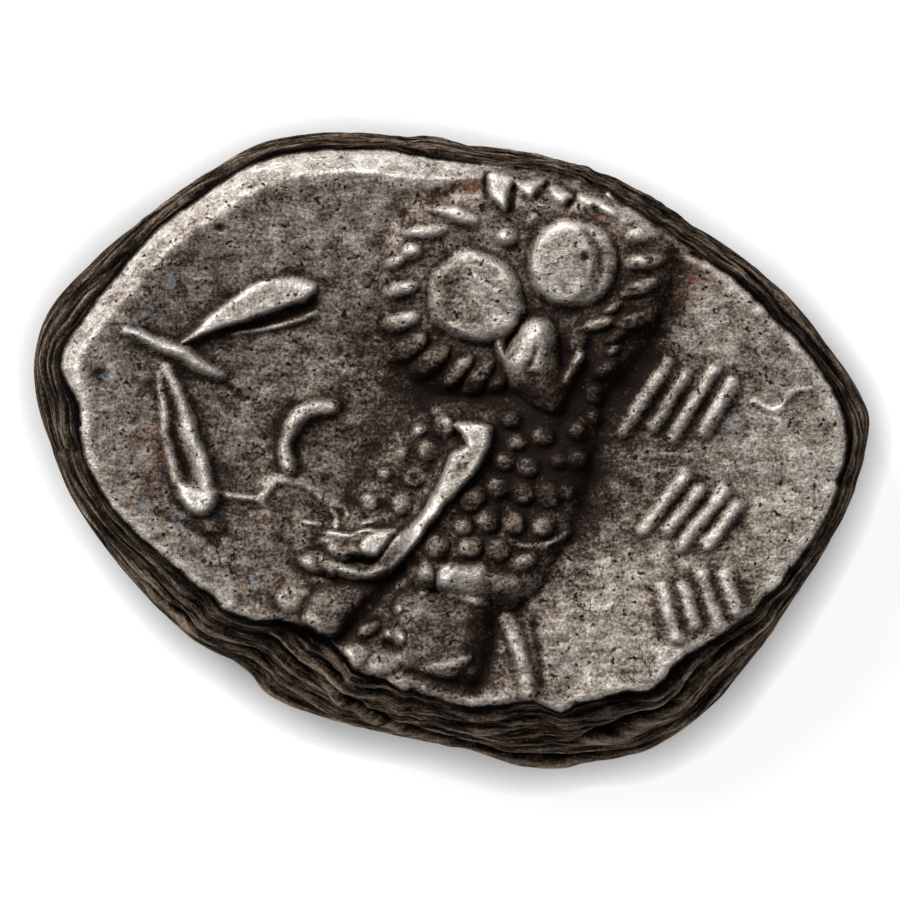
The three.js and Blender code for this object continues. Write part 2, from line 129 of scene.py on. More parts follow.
# ---------- Carving ----------
class Carving:
    """The relief of one side: heights above its plain surface, gathered form by form."""

    def __init__(self, x, y):
        self.x, self.y = x, y
        self.up = np.zeros_like(x)
        self.ground = np.zeros_like(x)
        self.tone = np.zeros_like(x)  # how much lighter or darker each form is painted than the field round it: wear and tarnish, with painted highlights on sides that face the key light and painted shade on sides turned from it

    def near(self, low, high):
        return np.flatnonzero((self.x > low[0]) & (self.x < high[0]) & (self.y > low[1]) & (self.y < high[1]))

    def join(self, where, height, soft, tone):
        """Joins a form to what stands there already, with a fillet soft mm high."""
        old = self.up[where]
        mix = np.clip(0.5 + 0.5 * (height - old) / soft, 0, 1)
        self.up[where] = old + (height - old) * mix + soft * mix * (1 - mix)
        self.tone[where] += (tone - self.tone[where]) * mix

    def rest(self):
        """What has been carved so far becomes the ground of the finer forms."""
        self.ground += self.up
        self.up = np.zeros_like(self.up)
        self.tone = np.zeros_like(self.up)

    @staticmethod
    def profile(out, full, sharp):
        inside = np.clip(1 - np.clip(out, 0, 1) ** full, 0, 1) ** sharp
        return np.where(out < 1, inside, -2.0 * (out - 1))

    def measure(self, line, reach):
        """Points near a line: which, how far off, how far along from 0 to 1, and on which side."""
        where = self.near(line.min(0) - reach, line.max(0) + reach)
        point = np.stack([self.x[where], self.y[where]], 1)
        start, run = line[:-1], np.diff(line, axis=0)
        t = np.clip(((point[:, None] - start) * run).sum(2) / (run**2).sum(1), 0, 1)
        off = point[:, None] - (start + t[:, :, None] * run)
        nearest = (off**2).sum(2).argmin(1)
        rows = np.arange(len(where))
        off, t = off[rows, nearest], t[rows, nearest]
        steps = np.hypot(*run.T)
        along = (np.concatenate([[0], np.cumsum(steps)]) / steps.sum())
        share = along[nearest] * (1 - t) + along[nearest + 1] * t
        side = run[nearest, 0] * off[:, 1] - run[nearest, 1] * off[:, 0]
        return where, np.hypot(off[:, 0], off[:, 1]), share, side

    def mound(self, at, radii, deg, high, tone=0.1, full=2.2, sharp=0.55, soft=0.04, lean=(0, 0)):
        """A rounded lump. lean is how much it rises per mm along x and y."""
        reach = max(radii) * 1.3
        where = self.near(np.subtract(at, reach), np.add(at, reach))
        c, s = math.cos(math.radians(deg)), math.sin(math.radians(deg))
        dx, dy = self.x[where] - at[0], self.y[where] - at[1]
        out = np.hypot((dx * c + dy * s) / radii[0], (dy * c - dx * s) / radii[1])
        top = high + np.where(out < 1, lean[0] * dx + lean[1] * dy, 0)
        self.join(where, top * self.profile(out, full, sharp), soft, tone)

    def slab(self, edge, high, bevel, lean=(0, 0), tone=0.15, full=2.2, sharp=0.7, soft=0.04):
        """A raised patch with its own outline, rising over bevel mm from its edge."""
        line = smooth_line(edge, 6, closed=True)
        line = np.vstack([line, line[:1]])
        where, away, _, _ = self.measure(line, bevel * 1.5)
        x, y = self.x[where], self.y[where]
        inside = np.zeros(len(where), bool)
        for (ax, ay), (bx, by) in zip(line, line[1:]):
            if ay != by:
                inside ^= ((ay > y) != (by > y)) & (x < (bx - ax) * (y - ay) / (by - ay) + ax)
        out = np.where(inside, 1 - np.minimum(away / bevel, 1), 1 + away / bevel)
        middle = line.mean(0)
        top = high + np.where(inside, lean[0] * (x - middle[0]) + lean[1] * (y - middle[1]), 0)
        self.join(where, top * self.profile(out, full, sharp), soft, tone)

    def ridge(self, path, left, right, high, tone=0.15, full=1.8, sharp=0.8, soft=0.05):
        """A ridge along a path. left, right and high are one number or several along the path."""
        where, away, share, side = self.measure(smooth_line(path), 1.3 * max(np.max(left), np.max(right)))

        def spread(value):
            value = np.atleast_1d(np.asarray(value, float))
            return np.interp(share, np.linspace(0, 1, len(value)), value)

        width = np.maximum(np.where(side > 0, spread(left), spread(right)), 0.04)
        self.join(where, spread(high) * self.profile(away / width, full, sharp), soft, tone)

    def groove(self, path, width, deep, tone=-0.12):
        """A cut along a path, sunk into whatever is there; its tone darkens the cut with painted shade and
        tarnish.
        """
        where, away, _, _ = self.measure(smooth_line(path), 3 * width)
        share = np.exp(-((away / width) ** 2))
        self.up[where] -= deep * share
        self.tone[where] += tone * share

    def pit(self, at, radius, deep, tone=-0.3):
        self.groove([at, (at[0] + 0.02, at[1])], radius, deep, tone)

    def fall(self, path, reach, slope, most):
        """Ground that falls away on the left of a path."""
        where, away, _, side = self.measure(smooth_line(path), reach)
        self.up[where] -= np.where(side > 0, np.minimum(away * slope, most), 0)

    def paint_light_and_wear(self, path, width, tone):
        """A stripe painted lighter, or darker where tone is below 0: painted highlights on edges that face
        the key light, painted shade on sides turned from it, and wear.
        """
        self.groove(path, width, 0, tone)


# ---------- The owl ----------
def owl_ground(side):
    """The broad swellings of the head, breast, wing and leg, all steepest on the right."""
    side.slab([(-1.6, 6.7), (-2.1, 5.2), (-1.9, 3.4), (-0.8, 1.8), (1.2, 1.2), (3.0, 0.9), (4.7, 1.7),
               (5.6, 2.8), (6.15, 4.0), (6.5, 5.2), (6.3, 6.4), (4.8, 7.2), (2.6, 7.7), (0.2, 7.5)], 0.44,
              1.1, (0.02, 0.0), soft=0.1)
    side.slab([(-0.6, 1.3), (1.4, 1.6), (3.4, 1.9), (4.35, 1.6), (4.3, 0.4), (4.1, -0.7), (3.8, -1.7),
               (3.4, -2.6), (2.95, -3.4), (2.5, -4.2), (1.6, -4.6), (0.2, -4.3), (-1.2, -3.8), (-1.5, -2.4),
               (-0.9, -1.0), (-0.5, 0.2)], 0.56, 0.9, (-0.07, 0.01), soft=0.1)
    side.slab([(-0.5, 1.1), (-1.6, 0.5), (-2.5, -0.6), (-3.0, -1.8), (-3.8, -2.6), (-3.8, -3.6),
               (-2.4, -3.6), (-0.9, -2.4), (0.3, -0.6)], 0.3, 0.9, soft=0.1)
    side.slab([(-1.4, -4.2), (1.2, -4.3), (1.3, -5.3), (1.15, -6.2), (0.9, -6.9), (-0.4, -6.7), (-1.5, -6.3),
               (-1.7, -5.2)], 0.5, 0.9, (-0.14, 0.05), soft=0.1)


# Feathers round the face: middle, direction, length, width, height, tone.
FACE_FEATHERS = [
    ((0.22, 6.87), -17, 1.4, 0.46, 0.28, 0.22), ((-0.55, 7.02), -14, 0.6, 0.22, 0.14, -0.2),
    ((-0.72, 6.38), 7, 1.5, 0.46, 0.27, 0.05), ((-1.62, 5.5), 16, 0.95, 0.42, 0.24, -0.05),
    ((-1.13, 5.78), 12, 0.7, 0.54, 0.33, 0.12), ((-1.46, 4.66), 20, 1.25, 0.5, 0.3, -0.02),
    ((-1.46, 3.74), 20, 1.3, 0.56, 0.3, -0.1), ((-1.25, 2.98), 32, 1.5, 0.74, 0.34, -0.22),
    ((-0.58, 2.55), 40, 1.5, 0.7, 0.34, -0.25), ((0.22, 2.27), 54, 1.3, 0.56, 0.34, -0.12),
    ((0.82, 2.08), 52, 1.35, 0.62, 0.32, -0.18), ((1.42, 1.98), 45, 0.9, 0.5, 0.26, -0.3),
    ((5.55, 6.28), 13, 1.1, 0.56, 0.3, -0.1), ((6.05, 6.3), 5, 0.5, 0.34, 0.2, -0.15),
    ((5.7, 5.5), 9, 1.4, 0.48, 0.3, -0.08), ((5.5, 4.72), 22, 1.25, 0.5, 0.32, -0.1),
    ((5.42, 3.75), 14, 1.35, 0.55, 0.32, -0.2), ((4.35, 3.68), 15, 0.95, 0.46, 0.3, 0.0),
    ((4.9, 3.3), 30, 0.9, 0.4, 0.26, -0.35),
]
# Feather pellets: middle, radii, height, direction, tone.
PELLETS = [
    ((1.77, 0.85), (0.3, 0.3), 0.26, 0, -0.02), ((1.9, 0.19), (0.34, 0.27), 0.26, 10, 0.05),
    ((2.7, 0.37), (0.4, 0.31), 0.27, -5, -0.08), ((3.68, 0.5), (0.33, 0.31), 0.25, 0, -0.08),
    ((4.22, 0.9), (0.24, 0.22), 0.2, 0, -0.12), ((4.23, 1.54), (0.32, 0.28), 0.24, 0, -0.12),
    ((1.6, -0.38), (0.34, 0.34), 0.27, 0, -0.08), ((2.28, -0.58), (0.36, 0.34), 0.28, 0, -0.06),
    ((3.15, -0.38), (0.3, 0.29), 0.25, 0, -0.08), ((3.72, -0.38), (0.35, 0.32), 0.25, 0, -0.04),
    ((1.4, -1.18), (0.35, 0.34), 0.27, 0, -0.08), ((0.65, -1.48), (0.47, 0.33), 0.27, 40, -0.1),
    ((2.09, -1.32), (0.37, 0.38), 0.28, 0, -0.1), ((2.84, -1.37), (0.4, 0.39), 0.26, 0, -0.06),
    ((3.38, -1.28), (0.3, 0.26), 0.21, 0, -0.08), ((1.07, -2.09), (0.38, 0.36), 0.29, 0, 0.0),
    ((0.32, -2.25), (0.32, 0.32), 0.28, 0, -0.05), ((1.82, -2.2), (0.35, 0.35), 0.27, 0, 0.0),
    ((2.66, -2.3), (0.35, 0.34), 0.26, 0, -0.05), ((-0.4, -2.88), (0.37, 0.35), 0.29, 0, -0.1),
    ((0.57, -2.9), (0.37, 0.36), 0.29, 0, 0.0), ((1.38, -2.94), (0.42, 0.38), 0.27, 0, -0.08),
    ((2.22, -3.3), (0.4, 0.28), 0.3, 25, 0.02), ((-0.66, -0.09), (0.34, 0.34), 0.22, 0, 0.02),
    ((-1.43, -1.65), (0.34, 0.34), 0.22, 0, 0.12), ((-0.98, 0.51), (0.23, 0.23), 0.19, 0, 0.0),
    ((-1.44, -0.15), (0.2, 0.23), 0.18, 0, 0.0), ((-1.93, -0.76), (0.23, 0.24), 0.21, 0, 0.02),
    ((-2.37, -1.55), (0.27, 0.28), 0.22, 0, 0.02), ((-0.24, 0.63), (0.34, 0.36), 0.3, 0, 0.12),
    ((-0.74, -3.8), (0.28, 0.5), 0.32, -8, 0.08),
]


def owl_eyes(side):
    side.slab([(-0.68, 4.4), (-0.66, 4.75), (-0.58, 5.08), (-0.42, 5.34), (-0.14, 5.55), (0.18, 5.72),
               (0.47, 5.81), (0.78, 5.78), (1.08, 5.67), (1.38, 5.53), (1.66, 5.38), (1.88, 5.18),
               (2.05, 4.9), (2.13, 4.55), (2.14, 4.15), (2.07, 3.8), (1.9, 3.5), (1.65, 3.27), (1.33, 3.15),
               (1.0, 3.12), (0.65, 3.16), (0.3, 3.25), (-0.05, 3.38), (-0.32, 3.55), (-0.52, 3.78),
               (-0.64, 4.08)], 0.44, 0.42, (0.07, -0.02), 0.2, full=2.4, sharp=0.55)
    # The left eye's left third is a shallow hollow turned from the key light, painted darker here and by a
    # stripe below: painted shade.
    side.groove([(0.05, 5.35), (0.12, 4.8), (0.1, 4.2), (0.15, 3.75)], 0.38, 0.1, -0.1)
    side.groove([(0.62, 5.5), (1.0, 5.33), (1.4, 5.15)], 0.08, 0.05)
    side.groove([(1.1, 4.4), (1.35, 4.2), (1.58, 4.05)], 0.08, 0.05)
    side.ridge([(0.75, 5.0), (1.15, 4.72), (1.55, 4.4), (1.95, 4.08)], 0.3, 0.24, 0.5, 0.3)
    side.paint_light_and_wear([(0.55, 5.0), (1.0, 4.6), (1.3, 3.9), (1.6, 3.75)], 0.4, 0.16)
    side.paint_light_and_wear([(1.3, 4.0), (1.6, 3.85), (1.9, 3.8)], 0.2, 0.15)
    # Painted highlight along the left eye's top rim.
    side.paint_light_and_wear([(0.1, 5.7), (0.5, 5.74), (0.9, 5.6), (1.5, 5.4)], 0.13, 0.3)
    side.paint_light_and_wear([(1.62, 5.3), (1.6, 5.0)], 0.14, 0.2)
    side.paint_light_and_wear([(-0.35, 5.1), (-0.1, 4.5), (0.0, 3.7)], 0.38, -0.2)
    side.ridge([(0.0, 3.66), (0.5, 3.42), (1.0, 3.27), (1.5, 3.32)], 0.14, 0.14, 0.4, 0.1)
    side.slab([(2.26, 5.4), (2.38, 5.98), (2.7, 6.45), (3.2, 6.71), (3.7, 6.74), (4.25, 6.56), (4.65, 6.2),
               (4.87, 5.7), (4.87, 5.2), (4.7, 4.75), (4.35, 4.4), (3.95, 4.2), (3.45, 4.13), (3.0, 4.22),
               (2.58, 4.48), (2.34, 4.9)], 0.36, 0.36, (-0.02, 0), 0.08, full=2.4, sharp=0.6)
    side.slab([(2.28, 5.4), (2.38, 5.87), (2.58, 6.27), (2.9, 6.55), (3.3, 6.69), (3.75, 6.62), (4.02, 6.35),
               (4.2, 6.0), (4.3, 5.55), (4.26, 5.1), (4.12, 4.72), (3.85, 4.4), (3.5, 4.2), (3.0, 4.24),
               (2.6, 4.5), (2.36, 4.92)], 0.43, 0.3, (0.02, -0.02), 0.3, full=2.4, sharp=0.6)
    side.groove([(4.0, 6.3), (4.22, 6.0), (4.37, 5.6), (4.35, 5.1), (4.2, 4.7)], 0.08, 0.05, -0.2)
    # Painted highlight along the right eye's top rim.
    side.paint_light_and_wear([(2.7, 6.35), (3.1, 6.6), (3.6, 6.66), (4.1, 6.5), (4.5, 6.2)], 0.16, 0.28)
    side.groove([(3.3, 5.0), (3.6, 5.05), (3.95, 5.1)], 0.06, 0.03)
    side.groove([(3.25, 4.85), (3.35, 4.6), (3.5, 4.45)], 0.07, 0.03)
    side.paint_light_and_wear([(3.66, 4.95), (3.78, 4.7), (3.8, 4.5)], 0.1, 0.16)
    side.pit((3.92, 5.66), 0.13, 0.12, -0.6)


def owl_head(side):
    owl_eyes(side)
    side.mound((1.66, 6.2), (0.34, 0.32), 0, 0.34, 0.12)
    side.mound((2.38, 6.68), (0.22, 0.18), 0, 0.14, 0.0)
    side.slab([(1.42, 2.5), (1.62, 3.0), (1.9, 3.4), (2.2, 3.74), (2.55, 3.92), (2.95, 3.76), (3.14, 3.35),
               (3.18, 2.8), (3.3, 2.3), (3.5, 1.8), (3.38, 1.25), (3.0, 0.98), (2.5, 1.15), (2.05, 1.5),
               (1.65, 1.95)], 0.66, 0.6, (-0.05, 0.1), 0.08, full=2.0, sharp=0.6, soft=0.08)
    # The beak's upper left faces the key light and is painted lighter, by this inner slab and the stripes
    # below, and its lower part is painted darker: painted highlight and painted shade.
    side.slab([(1.62, 2.5), (1.72, 2.92), (2.0, 3.3), (2.28, 3.64), (2.6, 3.78), (2.9, 3.6), (2.97, 3.1),
               (2.95, 2.4), (2.7, 2.05), (2.2, 2.02), (1.8, 2.16)], 0.7, 0.4, (-0.02, 0.03), 0.32, full=2.4,
              sharp=0.6, soft=0.08)
    side.groove([(2.5, 2.9), (2.42, 2.65), (2.3, 2.4)], 0.07, 0.06, -0.3)
    side.groove([(2.2, 2.3), (2.45, 2.18), (2.7, 2.2)], 0.07, 0.05)
    side.paint_light_and_wear([(2.35, 3.6), (2.15, 3.1), (1.95, 2.6), (2.0, 2.35)], 0.22, 0.22)
    side.paint_light_and_wear([(2.7, 3.5), (2.75, 2.8), (2.6, 2.1)], 0.2, 0.1)
    side.paint_light_and_wear([(2.2, 1.75), (2.8, 1.4), (3.2, 1.7)], 0.4, -0.15)
    side.ridge([(1.38, 3.1), (1.46, 2.8), (1.58, 2.5)], 0.2, 0.16, 0.42, 0.08)
    side.ridge([(3.35, 1.95), (3.52, 2.3), (3.78, 2.72)], 0.24, 0.18, 0.48, 0.1)
    side.mound((4.5, 2.3), (0.45, 0.28), 30, 0.26, -0.3)
    side.mound((4.78, 2.85), (0.24, 0.12), 40, 0.24, 0.05)
    side.mound((4.75, 4.15), (0.3, 0.16), 30, 0.26, -0.1)
    side.mound((3.7, 3.2), (0.5, 0.34), 70, 0.28, -0.35)
    for at, deg, long, wide, high, tone in FACE_FEATHERS:
        side.mound(at, (long / 2, wide / 2), deg, high, tone, full=2.6, sharp=0.55)
    # Small painted highlights on the feather tips.
    for at in [(0.42, 2.58), (-0.18, 2.72), (-0.82, 3.22), (-1.2, 3.86), (-1.22, 4.76), (-1.1, 5.86),
               (5.35, 6.35), (5.4, 5.6)]:
        side.paint_light_and_wear([at, (at[0] + 0.1, at[1] - 0.14)], 0.15, 0.2)
    for at in [(5.3, 6.15), (5.45, 5.42), (5.75, 5.58), (5.35, 4.66), (5.65, 4.85), (5.2, 3.68),
               (5.6, 3.85), (4.3, 3.6)]:
        side.pit(at, 0.08, 0.07, -0.25)


def owl_body(side):
    side.slab([(0.05, 0.66), (0.35, 0.84), (0.8, 0.8), (1.22, 0.66), (1.22, 0.35), (1.13, 0.02),
               (0.98, -0.28), (0.78, -0.63), (0.48, -1.0), (0.18, -1.38), (-0.1, -1.7), (-0.4, -2.07),
               (-0.72, -2.42), (-0.97, -2.78), (-1.27, -3.13), (-1.57, -3.45), (-1.92, -3.72),
               (-2.35, -3.74), (-2.25, -3.35), (-2.0, -2.95), (-1.7, -2.6), (-1.36, -2.38), (-1.04, -2.14),
               (-0.8, -1.8), (-0.58, -1.46), (-0.42, -1.16), (-0.3, -0.86), (-0.12, -0.46), (0.02, -0.12),
               (0.36, 0.06), (0.4, 0.3)], 0.42, 0.16, (0.14, -0.05), 0.4, full=2.6)
    side.groove([(0.0, 0.55), (0.25, 0.32), (0.52, 0.05)], 0.06, 0.1, -0.3)
    side.paint_light_and_wear([(0.2, 0.1), (-0.15, -0.6), (-0.5, -1.3), (-1.0, -1.95)], 0.22, 0.12)
    side.paint_light_and_wear([(-1.2, -2.75), (-1.55, -3.1), (-2.0, -3.5)], 0.25, -0.1)
    for at, radii, high, deg, tone in PELLETS:
        side.mound(at, radii, deg, high, tone - 0.06, full=2.6, sharp=0.5, soft=0.02)
    side.mound((-1.06, -0.84), (0.34, 0.34), 0, 0.19, 0.0, full=4)
    side.pit((-1.06, -0.84), 0.18, 0.1, -0.15)
    side.ridge([(1.5, -2.5), (1.9, -2.75), (2.4, -2.84), (2.9, -2.78), (3.4, -2.45)], 0.1, 0.12, 0.15, 0.0)


def owl_tail_and_legs(side):
    side.slab([(-3.85, -2.6), (-3.3, -2.5), (-2.9, -2.5), (-2.65, -2.4), (-1.6, -2.42), (-1.85, -2.8),
               (-2.1, -3.12), (-2.9, -3.1), (-3.2, -3.3), (-3.6, -3.05)], 0.3, 0.14, (0, 0), -0.05, full=3)
    side.ridge([(-3.6, -2.45), (-3.2, -2.5), (-2.9, -2.5), (-2.6, -2.38), (-2.1, -2.42), (-1.62, -2.4)],
               0.07, 0.12, 0.34, 0.3)
    side.slab([(-2.7, -2.75), (-2.45, -2.5), (-2.05, -2.42), (-1.64, -2.42), (-1.83, -2.75), (-2.03, -2.98),
               (-2.2, -3.18), (-2.5, -3.12), (-2.7, -2.95)], 0.44, 0.14, (0.1, -0.1), 0.35, full=3)
    side.groove([(-3.05, -3.2), (-2.6, -3.26), (-2.25, -3.3)], 0.08, 0.3, -0.3)
    side.groove([(-3.7, -2.85), (-3.4, -2.8), (-3.2, -2.95)], 0.06, 0.12)
    side.groove([(-3.1, -2.75), (-3.2, -3.0), (-3.35, -3.2)], 0.06, 0.12)
    side.mound((-3.3, -2.95), (0.4, 0.3), -30, 0.32, -0.05, full=3)
    side.ridge([(-3.3, -3.48), (-2.8, -3.64), (-2.4, -3.68), (-1.95, -3.52)], 0.2, 0.24, [0.3, 0.36, 0.42,
                                                                                          0.42], 0.15)
    side.slab([(-4.45, -3.4), (-4.35, -3.15), (-3.95, -2.98), (-3.62, -3.1), (-3.3, -3.35), (-3.36, -3.78),
               (-3.75, -3.75), (-4.15, -3.65)], 0.38, 0.26, (0, 0), 0.02)
    side.groove([(-4.0, -3.05), (-3.85, -3.35), (-3.7, -3.7)], 0.06, 0.08)
    side.slab([(-3.9, -4.15), (-3.2, -4.0), (-2.5, -3.98), (-2.0, -4.15), (-2.3, -4.7), (-2.8, -5.2),
               (-3.4, -5.5), (-4.1, -5.3), (-4.45, -4.9)], 0.36, 0.5, (-0.12, -0.06), -0.12, sharp=0.6)
    side.slab([(-5.15, -4.35), (-4.85, -3.98), (-4.4, -3.98), (-4.1, -4.3), (-4.45, -4.75), (-4.9, -4.8)],
              0.2, 0.3, (0, 0), 0.0)
    # A groove down the tail's right side, painted dark as the tail's shadow.
    side.groove([(-1.1, -3.3), (-1.9, -4.0), (-2.7, -4.9), (-3.3, -5.6)], 0.2, 0.2, -0.3)
    side.slab([(-0.44, -3.85), (-0.3, -3.5), (0.05, -3.3), (0.5, -3.42), (0.95, -3.38), (1.2, -3.7),
               (1.24, -4.15), (1.2, -4.55), (0.8, -4.68), (0.35, -4.5), (-0.1, -4.36), (-0.38, -4.18)], 0.4,
              0.4, (-0.08, 0.05), 0.1, full=2.2, sharp=0.6)
    side.slab([(1.1, -3.75), (1.5, -3.55), (1.95, -3.78), (2.12, -4.2), (1.88, -4.7), (1.45, -4.72),
               (1.1, -4.4)], 0.34, 0.36, (-0.12, 0.04), -0.12, full=2.2, sharp=0.6, soft=0.08)
    # The thigh's left side painted lighter and its right side darker: painted highlight and painted shade.
    side.paint_light_and_wear([(-0.15, -3.85), (0.4, -3.75), (0.6, -4.2)], 0.3, 0.18)
    side.paint_light_and_wear([(1.2, -3.9), (1.2, -4.5)], 0.25, -0.1)
    side.groove([(-0.22, -3.65), (0.02, -3.48), (0.15, -3.3)], 0.05, 0.1)
    side.slab([(-0.95, -6.48), (-0.5, -6.26), (0.1, -6.14), (0.75, -6.02), (0.5, -6.4), (0.1, -6.75),
               (-0.5, -6.72)], 0.16, 0.16, (0.02, -0.2), -0.25, full=2.4)
    # Painted highlight along the foot's top edge.
    side.paint_light_and_wear([(-0.85, -6.42), (-0.4, -6.34), (0.2, -6.2), (0.6, -6.1)], 0.09, 0.35)
    side.mound((-1.56, -4.7), (0.2, 0.17), 0, 0.22, 0.1)
    side.mound((-2.35, -5.3), (0.4, 0.22), 32, 0.26, -0.05)
    side.mound((-1.62, -5.5), (0.34, 0.26), -10, 0.32, 0.0)
    side.pit((-1.8, -5.82), 0.18, 0.2)
    side.slab([(-3.15, -5.9), (-2.8, -5.68), (-2.42, -5.74), (-2.26, -6.1), (-2.5, -6.36), (-2.9, -6.34)],
              0.24, 0.26, (0, 0), 0.05, full=2.4)
    side.mound((-1.95, -6.3), (0.55, 0.34), 10, 0.2, 0.0, full=3)
    side.ridge([(1.72, -5.05), (1.9, -5.5), (2.05, -6.1), (2.2, -6.7), (2.26, -7.1)], 0.26, 0.3, [0.16, 0.26,
                                                                                                  0.3, 0.28],
               0.06, full=2.6)
    side.groove([(1.2, -5.0), (1.25, -5.6), (1.05, -6.3), (0.75, -7.0)], 0.2, 0.14)
    # A shallow cut on the right of the leg ridge, painted dark as its shadow.
    side.groove([(2.45, -5.0), (2.56, -6.0), (2.66, -7.0)], 0.12, 0.1, -0.25)


def torn_rim(side):
    """Metal torn from the edge above the head: chips painted bright where they face the key light, notches
    between painted dark as shade, and the slope beyond them.
    """
    side.fall([(6.6, 6.05), (5.6, 6.75), (4.9, 7.08), (4.2, 7.42), (3.4, 7.68), (2.6, 7.82), (1.8, 7.9),
               (0.9, 8.4)][::-1], 1.0, 0.9, 0.45)
    side.slab([(1.12, 8.05), (1.13, 7.5), (1.32, 7.2), (1.66, 6.98), (1.72, 7.3), (1.78, 7.6), (2.0, 7.8),
               (1.7, 7.98)], 0.28, 0.2, (0.1, -0.1), 0.4)
    side.slab([(1.95, 7.8), (2.08, 7.5), (2.26, 7.34), (2.42, 7.36), (2.52, 7.6), (2.76, 7.78), (2.4, 7.86)],
              0.25, 0.2, (0.1, -0.1), 0.32)
    side.slab([(2.86, 7.72), (2.95, 7.4), (3.1, 7.22), (3.32, 7.14), (3.46, 7.3), (3.62, 7.4), (3.3, 7.66)],
              0.25, 0.2, (0.1, -0.1), 0.28)
    side.slab([(3.66, 7.48), (3.85, 7.2), (4.05, 7.06), (4.25, 7.1), (4.5, 6.92), (4.88, 6.7), (4.8, 7.0),
               (4.4, 7.28)], 0.24, 0.2, (0.1, -0.1), 0.32)
    for path in ([(1.86, 7.75), (1.88, 7.4), (1.8, 7.0)], [(2.8, 7.75), (2.66, 7.5), (2.5, 7.3)],
                 [(3.66, 7.42), (3.45, 7.15)], [(1.06, 8.1), (1.04, 7.7), (1.1, 7.35)]):
        side.groove(path, 0.08, 0.14, -0.3)
    side.ridge([(4.7, 7.45), (5.1, 7.2), (5.5, 6.95)], 0.12, 0.1, 0.18)
    for at in [(-0.35, 7.62), (-0.1, 7.5), (0.1, 7.66), (-1.4, 6.85), (-1.42, 6.62)]:
        side.pit(at, 0.07, 0.06, -0.4)


# ---------- Symbols in the field ----------
def olive_sprig(side):
    side.slab([(-8.05, 3.0), (-7.6, 3.35), (-7.2, 3.8), (-6.6, 4.3), (-6.0, 4.68), (-5.4, 4.95),
               (-4.9, 5.02), (-4.4, 4.99), (-3.86, 4.74), (-4.3, 4.31), (-5.0, 4.07), (-6.0, 3.75),
               (-7.0, 3.36)], 0.4, 0.12, (0.02, -0.16), 0.12, full=2.4)
    # Painted highlight along the upper leaf's top edge.
    side.paint_light_and_wear([(-5.9, 4.62), (-5.4, 4.82), (-4.9, 4.88), (-4.4, 4.86), (-4.0, 4.74)], 0.14, 0.2)
    side.ridge([(-6.95, 3.36), (-6.2, 3.42), (-5.2, 3.6), (-4.5, 3.76), (-3.95, 4.02)], 0.12, 0.14, [0.08,
                                                                                                     0.16,
                                                                                                     0.18,
                                                                                                     0.14],
               -0.1)
    # A shallow cut under the leaf's crest, painted dark as its shadow.
    side.groove([(-6.6, 3.42), (-5.6, 3.66), (-4.7, 3.92), (-4.0, 4.25)], 0.12, 0.08, -0.35)
    side.ridge([(-9.5, 3.44), (-9.0, 3.28), (-8.4, 3.04), (-7.9, 2.84), (-7.4, 2.5), (-6.75, 2.12)], [0.14,
                                                                                                      0.22,
                                                                                                      0.22,
                                                                                                      0.18],
               [0.16, 0.28, 0.3, 0.22], [0.26, 0.44, 0.46, 0.44, 0.34], 0.08, full=2.2)
    side.groove([(-6.75, 1.95), (-6.4, 1.7), (-6.05, 1.42)], 0.08, 0.08, -0.25)
    side.ridge([(-8.3, 2.45), (-7.98, 1.75), (-7.76, 1.0), (-7.5, 0.3), (-7.25, -0.4), (-7.1, -1.1)], [0.12,
                                                                                                       0.2,
                                                                                                       0.24,
                                                                                                       0.22],
               [0.16, 0.4, 0.54, 0.52, 0.46], [0.26, 0.4, 0.42, 0.42, 0.4], 0.06, full=1.8)
    side.ridge([(-8.52, 2.2), (-8.46, 1.3), (-8.34, 0.4), (-8.24, -0.3), (-8.1, -0.95)], [0.22, 0.34, 0.34],
               [0.12, 0.16, 0.16], [0.16, 0.26, 0.3, 0.32], -0.05)
    side.groove([(-8.3, 1.9), (-8.14, 1.0), (-7.98, 0.2), (-7.84, -0.6)], 0.12, 0.1, -0.2)
    side.slab([(-8.02, -1.0), (-7.6, -0.96), (-7.2, -1.08), (-6.78, -1.2), (-6.84, -1.6), (-7.18, -2.0),
               (-7.6, -1.9), (-7.97, -1.5)], 0.46, 0.24, (0.05, -0.05), 0.12, full=2.4)
    # The berry's top painted lighter as a highlight, and a low lump below it painted dark as the berry's
    # shadow.
    side.paint_light_and_wear([(-7.9, -1.15), (-7.5, -1.3), (-7.1, -1.5)], 0.2, 0.2)
    side.mound((-6.95, -2.25), (0.42, 0.34), -40, 0.18, -0.4)


def crescent(side):
    side.slab([(-3.24, 1.4), (-3.6, 1.48), (-4.1, 1.46), (-4.6, 1.2), (-4.97, 0.7), (-5.12, 0.12),
               (-5.05, -0.4), (-4.78, -0.78), (-4.5, -0.72), (-4.48, -0.34), (-4.58, 0.08), (-4.5, 0.42),
               (-4.2, 0.8), (-3.8, 0.93), (-3.3, 1.0)], 0.4, 0.22, (0, 0), 0.04, full=2.2)


# Rows of plain strokes: middle, direction of the row, lean, count, spacing, length.
STROKE_ROWS = [
    ((6.75, 1.35), -8, 58, 4, 0.72, 2.3), ((7.1, -1.9), -20, 52, 4, 0.62, 2.0),
    ((7.3, -4.5), 18, 108, 4, 0.62, 1.5),
]


def plain_strokes(side):
    for at, row, lean, count, pitch, long in STROKE_ROWS:
        for k in range(count):
            out = (k - (count - 1) / 2) * pitch
            middle = (at[0] + out * math.cos(math.radians(row)), at[1] + out * math.sin(math.radians(row)))
            reach = long / 2 * (0.72 if k % 2 else 1)
            dx, dy = reach * math.cos(math.radians(lean)), reach * math.sin(math.radians(lean))
            path = [(middle[0] + e * dx, middle[1] + e * dy) for e in (-1, 0, 1)]
            side.ridge(path, 0.24, 0.26, [0.24, 0.3, 0.26], 0.02, full=2.4, sharp=0.6)


